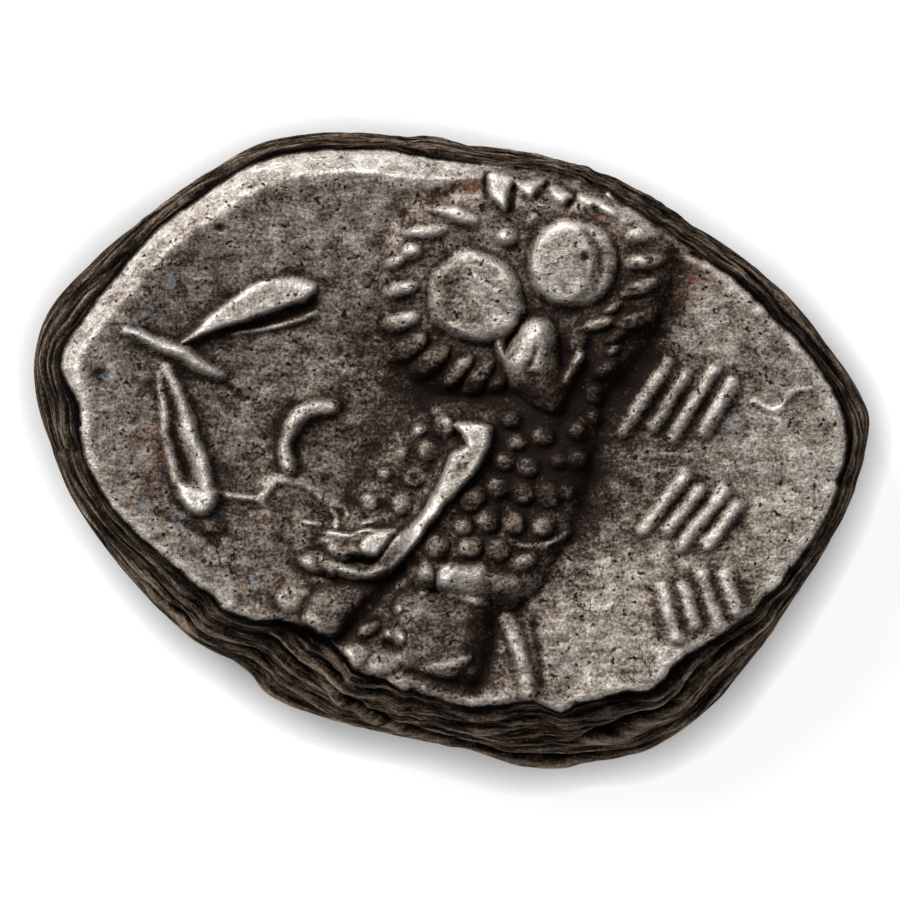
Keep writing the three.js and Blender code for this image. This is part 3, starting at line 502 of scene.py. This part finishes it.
def torn_sheets(side):
    """Edges where the metal has lifted in thin sheets, and cracks in the field."""
    side.slab([(-6.7, -1.28), (-6.2, -1.3), (-5.75, -1.3), (-5.45, -1.1), (-5.1, -1.0), (-5.35, -1.45),
               (-5.4, -1.75), (-5.75, -1.55), (-6.5, -1.52)], 0.22, 0.1, (0, 0), 0.1)
    side.ridge([(-5.4, -1.06), (-5.0, -0.98), (-4.4, -1.05), (-4.05, -1.25), (-3.75, -1.5), (-3.4, -1.7)],
               0.3, 0.06, 0.12)
    side.groove([(-8.5, -1.9), (-7.8, -2.2), (-7.2, -2.55), (-6.8, -2.9)], 0.14, 0.1)
    for path in ([(-3.5, -1.75), (-3.35, -2.0), (-3.4, -2.3)], [(-3.1, -1.65), (-3.05, -1.95)],
                 [(-2.6, -2.2), (-2.3, -2.15)], [(-4.2, -2.15), (-3.9, -2.2)]):
        side.ridge(path, 0.07, 0.07, 0.12, 0.35)
    side.ridge([(8.8, 1.42), (9.1, 1.3), (9.5, 1.15), (9.95, 1.62), (10.5, 1.75)], 0.09, 0.07, 0.1, 0.2)
    side.pit((-6.8, 6.45), 0.12, 0.14)
    side.pit((-10.25, 2.15), 0.2, 0.16)
    side.pit((-9.0, 5.05), 0.22, 0.1)


def carve_reverse(x, y):
    """Heights of the owl's side above the dished field."""
    bend_x, bend_y = 0.045 * rough(x, y, 0.9, 4, 11), 0.045 * rough(x, y, 0.9, 4, 21)
    side = Carving(x + bend_x, y + bend_y)
    owl_ground(side)
    side.rest()
    owl_head(side)
    owl_body(side)
    owl_tail_and_legs(side)
    torn_rim(side)
    olive_sprig(side)
    crescent(side)
    plain_strokes(side)
    torn_sheets(side)
    return side.ground + side.up, side.tone


# ---------- The hidden side: a plain helmeted head ----------
def around(middle, radii, deg):
    turn = math.radians(deg)
    return middle[0] + radii[0] * math.cos(turn), middle[1] + radii[1] * math.sin(turn)


def carve_obverse(x, y):
    side = Carving(x + 0.05 * rough(x, y, 1.1, 2, 31), y + 0.05 * rough(x, y, 1.1, 2, 41))
    side.mound((-1.0, 1.9), (5.2, 4.2), 25, 1.05, sharp=0.5, soft=0.2)
    side.mound((1.9, -1.3), (3.5, 2.6), 80, 0.72, sharp=0.5, soft=0.2)
    side.mound((-1.0, -4.5), (2.6, 2.2), 60, 0.5, sharp=0.5, soft=0.2)
    side.rest()
    side.ridge([(4.1, 2.5), (2.2, 1.9), (0.2, 0.2), (-1.6, -2.1), (-3.6, -3.2)], 0.3, 0.3, 0.34)
    crest = [around((-1.5, 0.9), (6.4, 5.2), deg) for deg in range(50, 201, 30)]
    side.ridge(crest, 0.5, 0.3, 0.42)
    side.mound((4.2, 0.25), (1.0, 0.42), -66, 0.5)  # nose
    side.mound((3.75, -1.5), (0.5, 0.22), 10, 0.45)  # lips
    side.mound((3.65, -2.0), (0.48, 0.22), -8, 0.42)
    side.mound((3.1, -3.4), (0.85, 0.62), 40, 0.4)  # chin
    side.mound((2.75, 0.4), (0.66, 0.26), -6, 0.34)  # eye
    side.mound((2.75, 1.05), (0.95, 0.17), 8, 0.3)  # brow
    side.mound((-0.6, -2.6), (0.42, 0.42), 0, 0.4)  # earring
    for k in range(6):
        side.mound((3.2 - 0.55 * k, 1.35 - 0.62 * k), (0.4, 0.22), -55 - 4 * k, 0.3)  # hair
        side.mound((-3.0 + 0.95 * k, -6.1 + 0.11 * (k - 2.5) ** 2), (0.25, 0.25), 0, 0.34)  # necklace
    for k in range(3):
        side.mound((2.6 - 1.5 * k, 4.1 + 0.3 * k), (0.85, 0.28), 62 + 14 * k, 0.34)  # leaves
    for k in range(4):
        side.mound(around((-3.2, 0.9), (0.9, 0.9), 180 - 80 * k), (0.45, 0.2), 114 - 80 * k, 0.3)  # scroll
    return side.ground + side.up, side.tone


# ---------- Building the skin ----------
TOP_CELLS = (280, 216)  # cells along and across the struck face, about 0.09 mm each


def round_grid(nx, ny):
    """A square grid drawn into a circle, closest in its middle: each point's radius share and angle."""
    u, v = np.meshgrid(np.linspace(-1, 1, nx + 1), np.linspace(-1, 1, ny + 1))
    u = u * (0.78 + 0.22 * u * u)
    wide = np.abs(u) >= np.abs(v)
    safe_u, safe_v = np.where(u == 0, 1, u), np.where(v == 0, 1, v)
    share = np.where(wide, u, v)
    turn = np.where(wide, math.pi / 4 * v / safe_u, math.pi / 2 - math.pi / 4 * u / safe_v)
    turn = turn + np.where(share < 0, math.pi, 0)
    return np.abs(share), turn


def grid_border(nx, ny):
    """The grid's border points in order, anticlockwise."""
    at = lambda i, j: j * (nx + 1) + i
    return np.array([at(nx, j) for j in range(ny)] + [at(i, ny) for i in range(nx, 0, -1)]
                    + [at(0, j) for j in range(ny, 0, -1)] + [at(i, 0) for i in range(nx)])


def grid_faces(nx, ny):
    i, j = np.meshgrid(np.arange(nx), np.arange(ny))
    a = (j * (nx + 1) + i).ravel()
    return np.stack([a, a + 1, a + nx + 2, a + nx + 1], 1)


def eased(height):
    """Takes the stair steps off steep sides."""
    height = height.copy()
    height[1:-1] = (height[:-2] + 6 * height[1:-1] + height[2:]) / 8
    height[:, 1:-1] = (height[:, :-2] + 6 * height[:, 1:-1] + height[:, 2:]) / 8
    return height


def face_points(share, turn):
    edge = face_radius(turn)
    r = share * edge
    x, y = r * np.cos(turn), r * np.sin(turn)
    rim = field_radius(turn)
    z = RIM_Z - DISH_DEPTH * (1 - np.minimum(r / rim, 1) ** 2)
    z -= LIP_DROP * lip_share(turn) * np.clip((r - rim) / (edge - rim), 0, 1)
    z -= 0.14 * np.exp(-(((edge - r) / 0.1) ** 2))
    relief, tone = (part.reshape(x.shape) for part in carve_reverse(x.ravel(), y.ravel()))
    relief = eased(relief)
    relief *= np.clip((edge - r) / 0.12, 0, 1)
    skin = 0.03 * rough(x, y, 1.4, 3, 51) + 0.02 * rough(x, y, 0.35, 2, 61)
    on_lip = np.clip((r - rim - 0.06 + 0.2 * rough(x, y, 0.7, 4, 15)) / 0.25, 0, 1) * lip_share(turn)
    return np.stack([x, y, z + relief + skin], -1), eased(tone) + LIP_WEAR_AND_LIGHT * on_lip * lip_share(turn) ** 2


# Edges of the sheets that the flan was folded from, down the wall: degrees round the coin, and height.
FOLD_LINES = [
    [(-122, 5.0), (-112, 4.3), (-98, 3.3), (-84, 2.95), (-72, 2.75), (-60, 2.6)],
    [(-72, 3.9), (-60, 4.4), (-48, 4.9), (-38, 5.3)],
    [(-165, 3.4), (-150, 3.9), (-138, 4.1), (-128, 3.7)],
]


def wall_top(turn):
    return RIM_Z - LIP_DROP * lip_share(turn) - 0.14


def wall_level(turn, z):
    """Height on the wall along its folded layers, which wander up and down."""
    return z + 0.35 * rough(turn * MEAN_RADIUS, turn * 0, 4.0, 3, 71)


def wall_points(turn, share):
    """Points down the wall: share runs from 0 at the face through 1 at the girth to 2 at the underside."""
    face, girth = face_radius(turn), girth_radius(turn)
    top = wall_top(turn)
    if share <= 1:
        r = face + (girth - face) * share + WALL_BULGE * math.sin(math.pi * share)
        z = top + (GIRTH_Z - top) * share
    else:
        roll = (share - 1) * math.pi / 2
        r = girth - UNDER_ROLL * (1 - math.cos(roll))
        z = GIRTH_Z - (GIRTH_Z - UNDER_EDGE_Z) * math.sin(roll) + 0 * turn
    level = wall_level(turn, z)
    layers = rough(turn * MEAN_RADIUS / 7, level, 0.36, 3, 81)
    folds = 1 - np.abs(rough(turn * MEAN_RADIUS / 6, level, 0.9, 2, 91))
    ease = min(1, share * 6) * min(1, (2 - share) * 4) * (0.5 + 0.5 * min(1, abs(share - 1) * 3))
    r = r + ease * (0.11 * layers + 0.13 * (folds - 0.8))
    for path in FOLD_LINES:
        turns, heights = np.radians([p[0] for p in path]), [p[1] for p in path]
        off = z - np.interp(turn, turns, heights)
        ends = np.clip((turn - turns[0]) * 6, 0, 1) * np.clip((turns[-1] - turn) * 6, 0, 1)
        r = r + ends * (0.16 * np.exp(-(((off + 0.3) / 0.2) ** 2)) - 0.3 * np.exp(-((off / 0.14) ** 2)))
    return np.stack([r * np.cos(turn), r * np.sin(turn), z], -1)


def under_points(share, turn):
    r = share * (girth_radius(turn) - UNDER_ROLL)
    x, y = r * np.cos(turn), r * np.sin(turn)
    bare = UNDER_MIDDLE_Z + (UNDER_EDGE_Z - UNDER_MIDDLE_Z) * share**2
    relief, _ = (part.reshape(x.shape) for part in carve_obverse(-x.ravel(), y.ravel()))
    skin = (0.05 * rough(x, y, 1.6, 3, 101)) * np.clip((1 - share) * 8, 0, 1)
    return np.stack([x, y, np.maximum(0, bare - relief + skin)], -1)


def struck_coin():
    """The whole coin as one closed skin: face, wall and underside."""
    nx, ny = TOP_CELLS
    face, tone = face_points(*round_grid(nx, ny))
    points = [face.reshape(-1, 3)]
    faces = [grid_faces(nx, ny)]
    ring = grid_border(nx, ny)
    turns = round_grid(nx, ny)[1].ravel()[ring]
    turns = np.arctan2(np.sin(turns), np.cos(turns))
    start = len(points[0])
    shares = [*np.linspace(0.015, 0.05, 2), *np.linspace(0.08, 1, 30), *np.linspace(1.1, 1.92, 7)]
    for k, share in enumerate(shares):
        if k == 2:
            turns = turns[::2]
        below = np.arange(start, start + len(turns))
        points.append(wall_points(turns, share))
        start += len(turns)
        if len(below) == len(ring):
            faces.append(np.stack([ring, below, np.roll(below, -1), np.roll(ring, -1)], 1))
        else:
            a, b, c = ring[::2], ring[1::2], np.roll(ring[::2], -1)
            d, e = below, np.roll(below, -1)
            faces += [np.stack(t + (t[2],), 1) for t in ((a, d, b), (b, d, e), (b, e, c))]
        ring = below
    grid = under_points(*round_grid(nx // 2, ny // 2)).reshape(-1, 3)
    points.append(grid)
    border = grid_border(nx // 2, ny // 2) + start
    faces.append(np.stack([ring, border, np.roll(border, -1), np.roll(ring, -1)], 1))
    faces.append(grid_faces(nx // 2, ny // 2)[:, ::-1] + start)
    polygons = [row if row[2] != row[3] else row[:3] for row in np.vstack(faces).tolist()]
    mesh = bpy.data.meshes.new("struck_coin")
    mesh.from_pydata((np.vstack(points) * MM).tolist(), [], polygons)
    mesh.shade_smooth()
    return mesh, np.pad(tone.ravel(), (0, start + len(grid) - tone.size))


# ---------- Wear, tarnish, and painted light and shade ---
# Patches painted lighter or darker on the struck face, partly tarnish and partly painted light and shade:
# painted shadow down the right of the head, leg and tail and under the foot, painted shade with tarnish on
# the breast where it slopes from the key light, painted light on the top of the lip and the upper leaf.
# Middle, radii, direction, how much lighter (or darker below 0).
TONE_AND_SHADE_PATCHES = [
    ((2.6, -0.9), (2.1, 2.6), 15, -0.42), ((3.7, 0.0), (0.7, 1.8), 12, -0.34),
    ((3.6, 2.0), (1.9, 1.0), 25, -0.32), ((5.6, 3.6), (1.0, 2.0), -20, -0.4),
    ((0.6, 1.7), (2.4, 0.7), -8, -0.22), ((-1.0, 2.2), (1.6, 0.9), -40, -0.2),
    ((0.95, -5.7), (0.5, 1.2), 0, -0.6), ((-0.4, -5.4), (1.0, 0.9), 0, -0.1),
    ((-2.0, -0.2), (1.8, 2.2), 20, -0.22), ((-3.8, 0.2), (1.2, 1.8), 0, 0.1),
    ((-3.6, 6.4), (3.0, 1.2), 12, 0.2), ((4.9, -4.8), (2.2, 3.2), 0, 0.3),
    ((9.2, -0.6), (2.0, 3.0), 0, 0.25), ((-9.6, 1.2), (1.2, 3.0), 15, 0.12),
    ((-8.9, 4.9), (2.4, 0.7), 42, -0.12), ((-5.8, 1.4), (1.0, 2.2), 0, 0.02),
    ((7.4, 3.6), (1.4, 1.4), 0, 0.25), ((1.2, -7.0), (0.5, 0.8), 0, 0.1),
    ((-2.5, -4.6), (0.7, 1.4), -38, -0.45), ((0.9, 3.0), (1.8, 0.8), 25, 0.0),
    ((6.6, 1.0), (1.6, 1.4), 0, -0.1), ((7.0, -4.6), (1.2, 0.9), 20, -0.15),
    ((4.8, -0.6), (0.7, 1.6), 0, -0.1), ((0.3, -6.9), (1.0, 0.35), 5, -0.5),
    ((-2.0, 8.25), (2.8, 0.45), 0, 0.3), ((-5.3, 4.45), (1.2, 0.4), 20, 0.18),
    ((-4.8, 0.4), (0.5, 1.0), 0, -0.24), ((-7.6, -3.4), (1.6, 1.0), -40, 0.1),
    ((0.9, 6.25), (0.6, 0.4), 0, 0.14), ((-3.4, -4.6), (0.7, 0.5), 0, 0.12),
    ((0.35, -3.9), (0.8, 0.45), 0, 0.14), ((-0.1, -6.5), (0.6, 0.35), 0, 0.12),
]
# Iridescent and rusty stains: middle, radii, direction.
BLUE_STAINS = [((-9.8, 0.8), (1.2, 2.6), 10), ((-8.2, -2.2), (1.2, 1.0), 0), ((-8.6, 4.6), (1.6, 0.9), 35),
               ((9.4, 0.4), (1.4, 1.8), 0), ((3.2, -6.6), (0.7, 0.6), 0), ((-6.2, -3.9), (0.9, 0.4), -20)]
RUST_STAINS = [((7.0, 5.2), (0.9, 0.7), 0), ((-6.95, -1.28), (0.3, 0.15), 0), ((-8.7, -0.1), (0.5, 0.9), 0),
               ((0.4, 7.4), (1.4, 0.5), 0), ((-3.0, 8.5), (1.2, 0.25), 0), ((4.4, 6.9), (0.6, 0.5), -30)]


# Where the wall is lighter or darker: degrees round the coin, half the spread, how much.
WALL_TONES = [(-140, 50, 0.07), (-95, 40, 0.1), (-35, 50, 0.07), (170, 50, 0.02), (100, 40, 0.08)]


def patches(place, spots):
    total = np.zeros(len(place))
    for at, radii, deg, *much in spots:
        c, s = math.cos(math.radians(deg)), math.sin(math.radians(deg))
        dx, dy = place[:, 0] - at[0], place[:, 1] - at[1]
        out = np.hypot((dx * c + dy * s) / radii[0], (dy * c - dx * s) / radii[1])
        total += (much[0] if much else 1) * np.exp(-(out**2.4) * 0.9)
    return total


def stored(mesh, name, values):
    kind = "FLOAT" if values.ndim == 1 else "FLOAT_VECTOR"
    field = "value" if values.ndim == 1 else "vector"
    mesh.attributes.new(name, kind, "POINT").data.foreach_set(field, values.astype(np.float32).ravel())


def note_finish_and_painted_light(mesh, form_tone):
    """Stores what the finish depends on: how proud each point stands, where the wall is, and its tone. The
    colour made from these is tarnish and wear together with painted light and shade: painted shade in hollows
    and creases and in the tone patches' shadows, painted highlights along edges.
    """
    count = len(mesh.vertices)
    place, normal = np.empty(count * 3), np.empty(count * 3)
    mesh.vertices.foreach_get("co", place)
    mesh.vertex_normals.foreach_get("vector", normal)
    place, normal = place.reshape(-1, 3) / MM, normal.reshape(-1, 3)
    ends = np.empty(len(mesh.edges) * 2, int)
    mesh.edges.foreach_get("vertices", ends)
    one, other = ends.reshape(-1, 2).T
    joined = np.concatenate([one, other]), np.concatenate([other, one])
    share = np.bincount(joined[0], minlength=count)
    soft = place.copy()
    for turn in range(1, 71):
        mean = np.stack([np.bincount(joined[0], soft[joined[1], k], count) / share for k in range(3)], 1)
        soft = 0.4 * soft + 0.6 * mean
        if turn == 6:
            stored(mesh, "crisp", ((place - soft) * normal).sum(1))
    stored(mesh, "proud", ((place - soft) * normal).sum(1))
    turn = np.arctan2(place[:, 1], place[:, 0])
    out = np.hypot(place[:, 0], place[:, 1]) - face_radius(turn)
    upper = place[:, 2] > FACE_LEAST_Z
    outside = np.clip((out + 0.02) / 0.03, 0, 1)
    wall = np.clip(outside + (place[:, 2] < FACE_LEAST_Z), 0, 1) * (normal[:, 2] > -0.6)
    stored(mesh, "wall", wall)
    below = wall_top(turn) - place[:, 2]
    run = turn * MEAN_RADIUS
    border = np.exp(-((below / (0.26 + 0.2 * rough(run, run * 0, 0.9, 3, 111))) ** 2))
    wall_tone = -0.5 * border
    for deg, wide, much in WALL_TONES:
        off = turn - math.radians(deg)
        share = np.minimum(np.abs(np.arctan2(np.sin(off), np.cos(off))) / math.radians(wide), 1)
        wall_tone = wall_tone + much * np.cos(share * math.pi / 2)
    stored(mesh, "tone", np.where(wall > 0.5, wall_tone, form_tone + patches(place, TONE_AND_SHADE_PATCHES) * upper))
    stored(mesh, "blue", patches(place, BLUE_STAINS) * upper)
    stored(mesh, "rust", patches(place, RUST_STAINS) * upper)
    stored(mesh, "wrap", np.stack([turn * MEAN_RADIUS / 8, wall_level(turn, place[:, 2]), 0 * turn], 1))


mesh, form_tone = struck_coin()
note_finish_and_painted_light(mesh, form_tone)
coin = bpy.data.objects.new("struck_coin", mesh)
bpy.context.scene.collection.objects.link(coin)


# ---------- Materials ----------
def linear(code):
    """A colour written as an sRGB hex value, turned to linear light."""
    parts = [int(code[i:i + 2], 16) / 255 for i in (0, 2, 4)]
    return tuple(c / 12.92 if c <= 0.04045 else ((c + 0.055) / 1.055) ** 2.4 for c in parts) + (1,)


def add_node(tree, kind, settings=None, links=None):
    """Adds a node: settings are its properties or its inputs' values, links feed inputs from other nodes."""
    node = tree.nodes.new(kind)
    own = [key for key in settings or {} if isinstance(key, str) and key not in node.inputs]
    for key in own:
        setattr(node, key, settings[key])
    for key, value in (settings or {}).items():
        if key not in own:
            node.inputs[key].default_value = value
    for key, source in (links or {}).items():
        tree.links.new(getattr(source, "outputs", [source])[0], node.inputs[key])
    return node


# From the darkest recess, tarnish with painted shade, to the brightest metal with painted highlights; and
# from the wall's deepest fold to its palest strand.
FACE_COLOURS = [(0.05, "1a1410"), (0.25, "3a3029"), (0.45, "71675e"), (0.6, "958d85"), (0.78, "b3ada6"),
                (0.98, "d6d1cb")]
WALL_COLOURS = [(0.15, "030202"), (0.38, "15110e"), (0.56, "3b322a"), (0.78, "74665a"), (1.0, "a89684")]


def toned_silver():
    """Old silver. The struck sides show bright metal on their high points over a grainy brown tarnish in the
    recesses, with painted shade darkening hollows and creases and painted highlights along edges; the wall
    gives it folded, nearly black metal with thin paler strands, their edges also painted lighter."""
    material = bpy.data.materials.new("toned_silver")
    material.use_nodes = True
    tree = material.node_tree
    tree.nodes.clear()
    place = add_node(tree, "ShaderNodeTexCoord").outputs["Object"]
    stretched = add_node(tree, "ShaderNodeMapping", {"Scale": (0.4, 1.0, 1.0)}, {"Vector": place})
    wrap = add_node(tree, "ShaderNodeAttribute", {"attribute_name": "wrap"}).outputs["Vector"]
    read = {name: add_node(tree, "ShaderNodeAttribute", {"attribute_name": name}).outputs["Fac"]
            for name in ("crisp", "proud", "wall", "tone", "blue", "rust")}

    # Patterns in the metal: how big, how detailed, how rough, and along what.
    patterns = {
        "mottle": (0.6 * MM, 5.0, 0.6, place), "fine": (0.1 * MM, 3.0, 0.7, place),
        "flake": (0.25 * MM, 4.0, 0.7, stretched), "bend": (0.3 * MM, 3.0, 0.5, place),
        "crazed": (1.3 * MM, 2.0, 0.5, place), "holes": (0.2 * MM, 1.0, 0.5, place),
        "blue": (0.5 * MM, 4.0, 0.7, place), "rust": (0.4 * MM, 4.0, 0.7, place),
        "stray": (0.25 * MM, 2.0, 0.5, place), "streak": (0.22, 5.0, 0.75, wrap),
    }
    pattern = {}
    for name, (size, detail, roughness, along) in patterns.items():
        settings = {"Scale": 1 / size, "Detail": detail, "Roughness": roughness}
        pattern[name] = add_node(tree, "ShaderNodeTexNoise", settings, {"Vector": along})
    bent = add_node(tree, "ShaderNodeVectorMath", {"operation": "MULTIPLY_ADD", 1: (0.5 * MM,) * 3},
                    {0: pattern["bend"].outputs["Color"], 2: place})
    cells = add_node(tree, "ShaderNodeTexVoronoi", {"feature": "DISTANCE_TO_EDGE", "Scale": 1 / (0.75 * MM)},
                     {"Vector": bent})

    # The part of each pattern's range that is used, and what it is spread over.
    spans = {
        # raised, edges and wall edges make hollows and creases darker and high points and edges lighter:
        # tarnish and wear, together with painted occlusion shade in the hollows and painted highlights along
        # the edges.
        "raised": (read["proud"], -0.25, 0.25, -0.94, -0.48),
        "edges": (read["crisp"], -0.04, 0.04, -0.22, 0.06),
        "wall edges": (read["crisp"], -0.06, 0.06, -1.2, -0.6), "cracks": (cells, 0.0, 0.035, 1.0, 0.0),
        "crazed": (pattern["crazed"], 0.57, 0.7, 0.0, 1.0), "pits": (pattern["holes"], 0.33, 0.27, 0.0, 1.0),
        "blue": (pattern["blue"], 0.56, 0.7, 0.0, 0.6), "rust": (pattern["rust"], 0.5, 0.64, 0.0, 0.45),
        "stray": (pattern["stray"], 0.68, 0.76, 0.0, 0.25),
    }
    span = {}
    for name, (source, *ends) in spans.items():
        settings = dict(zip(("From Min", "From Max", "To Min", "To Max"), ends))
        span[name] = add_node(tree, "ShaderNodeMapRange", settings, {"Value": source})
    crack, blue, rust, wall_streak = (
        add_node(tree, "ShaderNodeMath", {"operation": "MULTIPLY"}, {0: one, 1: other})
        for one, other in ((span["cracks"], span["crazed"]), (read["blue"], span["blue"]),
                           (read["rust"], span["rust"]), (pattern["streak"], read["wall"])))

    # How light the face is painted, from wear and tarnish and from painted shade and highlights; how pale the
    # wall's strands are; and how the fine skin stands up.
    sums = {
        "worn": (span["raised"], (
            (span["edges"], 1.0), (read["tone"], 0.6), (pattern["mottle"], 0.6), (pattern["fine"], 1.0),
            (pattern["flake"], 0.7), (crack, -0.3), (span["pits"], -0.3))),
        "strand": (span["wall edges"], (
            (pattern["streak"], 2.0), (pattern["fine"], 0.7), (read["tone"], 1.0))),
        "skin": (wall_streak, (
            (pattern["fine"], 0.233), (pattern["mottle"], 0.2), (pattern["flake"], 0.2), (crack, -0.167),
            (span["pits"], -0.133))),
    }
    total = {}
    for name, (so_far, parts) in sums.items():
        for source, weight in parts:
            settings = {"operation": "MULTIPLY_ADD", 1: weight}
            so_far = add_node(tree, "ShaderNodeMath", settings, {0: source, 2: so_far})
        total[name] = so_far

    coloured = []
    for source, stops in ((total["worn"], FACE_COLOURS), (total["strand"], WALL_COLOURS)):
        node = add_node(tree, "ShaderNodeValToRGB", None, {"Fac": source})
        elements = node.color_ramp.elements
        elements.remove(elements[1])
        for k, (position, code) in enumerate(stops):
            element = elements.new(position) if k else elements[0]
            element.position, element.color = position, linear(code)
        coloured.append(node)
    colour, wall_colour = coloured
    for share, code in ((blue, "8796a8"), (rust, "7a4a2c"), (span["stray"], "8c6a44")):
        settings = {"data_type": "RGBA", 7: linear(code)}
        colour = add_node(tree, "ShaderNodeMix", settings, {0: share, 6: colour}).outputs[2]
    colour = add_node(tree, "ShaderNodeMix", {"data_type": "RGBA"},
                      {0: read["wall"], 6: colour, 7: wall_colour}).outputs[2]

    ends = {"From Min": 0.2, "From Max": 0.9, "To Min": 0.74, "To Max": 0.6}
    dull = add_node(tree, "ShaderNodeMapRange", ends, {"Value": total["worn"]})
    dull = add_node(tree, "ShaderNodeMath", {"operation": "MULTIPLY_ADD", 1: 0.1}, {0: read["wall"], 2: dull})
    ends = {"From Min": 0.1, "From Max": 0.7, "To Min": 0.6, "To Max": 0.9}
    bare = add_node(tree, "ShaderNodeMapRange", ends, {"Value": total["worn"]})
    bare_wall = add_node(tree, "ShaderNodeMath", {"operation": "MULTIPLY", 1: 0.9}, {0: read["wall"]})
    bare = add_node(tree, "ShaderNodeMath", {"operation": "MAXIMUM"}, {0: bare, 1: bare_wall})
    bump = add_node(tree, "ShaderNodeBump", {"Strength": 1.0, "Distance": 0.15 * MM},
                    {"Height": total["skin"]})
    shader = add_node(tree, "ShaderNodeBsdfPrincipled",
                      {"Specular IOR Level": 0.2, "Specular Tint": (0.4, 0.38, 0.36, 1)},
                      {"Base Color": colour, "Roughness": dull, "Metallic": bare, "Normal": bump})
    add_node(tree, "ShaderNodeOutputMaterial", None, {"Surface": shader})
    return material


coin.data.materials.append(toned_silver())
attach(coin, "root")
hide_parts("coin")


# ---------- Studio ----------
CONTACT_SHADOW = 1.9 * MM  # how far round the coin the floor's emission is dimmed, as a painted contact shadow


def white_floor():
    """Matt white acrylic that glows by its own emission, as if lit from below; an ambient occlusion node dims
    it close to the coin, a painted contact shadow.
    """
    material = bpy.data.materials.new("white_acrylic")
    material.use_nodes = True
    tree = material.node_tree
    shader = tree.nodes["Principled BSDF"]
    # The floor's emission is dimmed where the coin hides the sky within CONTACT_SHADOW: a painted contact
    # shadow.
    open_sky = add_node(tree, "ShaderNodeAmbientOcclusion",
                        {"samples": 8, "Distance": CONTACT_SHADOW}).outputs["AO"]
    glow = add_node(tree, "ShaderNodeMath", {"operation": "POWER", 1: 3.0}, {0: open_sky}).outputs[0]
    tree.links.new(glow, shader.inputs["Emission Color"])
    shader.inputs["Base Color"].default_value = linear("808080")
    shader.inputs["Roughness"].default_value = 0.9
    shader.inputs["Emission Strength"].default_value = 0.9
    material.cycles.emission_sampling = "NONE"
    mesh = bpy.data.meshes.new("floor")
    reach = 2.0
    mesh.from_pydata([(-reach, -reach, 0), (reach, -reach, 0), (reach, reach, 0), (-reach, reach, 0)], [],
                     [(0, 1, 2, 3)])
    mesh.materials.append(material)
    floor = bpy.data.objects.new("floor", mesh)
    bpy.context.scene.collection.objects.link(floor)


def softbox(name, azimuth, elevation, distance, size, watts):
    light = bpy.data.lights.new(name, "AREA")
    light.shape, light.size, light.size_y, light.energy = "RECTANGLE", size[0], size[1], watts
    lamp = bpy.data.objects.new(name, light)
    a, e = math.radians(azimuth), math.radians(elevation)
    lamp.location = (distance * math.cos(a) * math.cos(e), distance * math.sin(a) * math.cos(e),
                     distance * math.sin(e))
    lamp.rotation_mode = "QUATERNION"
    lamp.rotation_quaternion = lamp.location.to_track_quat("Z", "Y")
    bpy.context.scene.collection.objects.link(lamp)


white_floor()
softbox("key", 130, 44, 0.6, (0.3, 0.3), 7.4)
softbox("fill", 20, 40, 0.7, (0.5, 0.4), 0.5)
world = bpy.data.worlds.new("studio")
world.use_nodes = True
world.node_tree.nodes["Background"].inputs["Color"].default_value = (1, 1, 1, 1)
world.node_tree.nodes["Background"].inputs["Strength"].default_value = 0.2
bpy.context.scene.world = world
bpy.context.scene.view_settings.view_transform = "Standard"

camera = bpy.data.cameras.new("camera")
camera.sensor_width = 36.0
CAMERA_Z = 0.8
FRAME_WIDTH = 26.41 * MM
camera.lens = camera.sensor_width * (CAMERA_Z - 0.005) / FRAME_WIDTH
view = bpy.data.objects.new("camera", camera)
view.location = (-0.015 * MM, -0.045 * MM, CAMERA_Z)
camera.clip_start, camera.clip_end = 0.01, 5.0
bpy.context.scene.collection.objects.link(view)
bpy.context.scene.camera = view
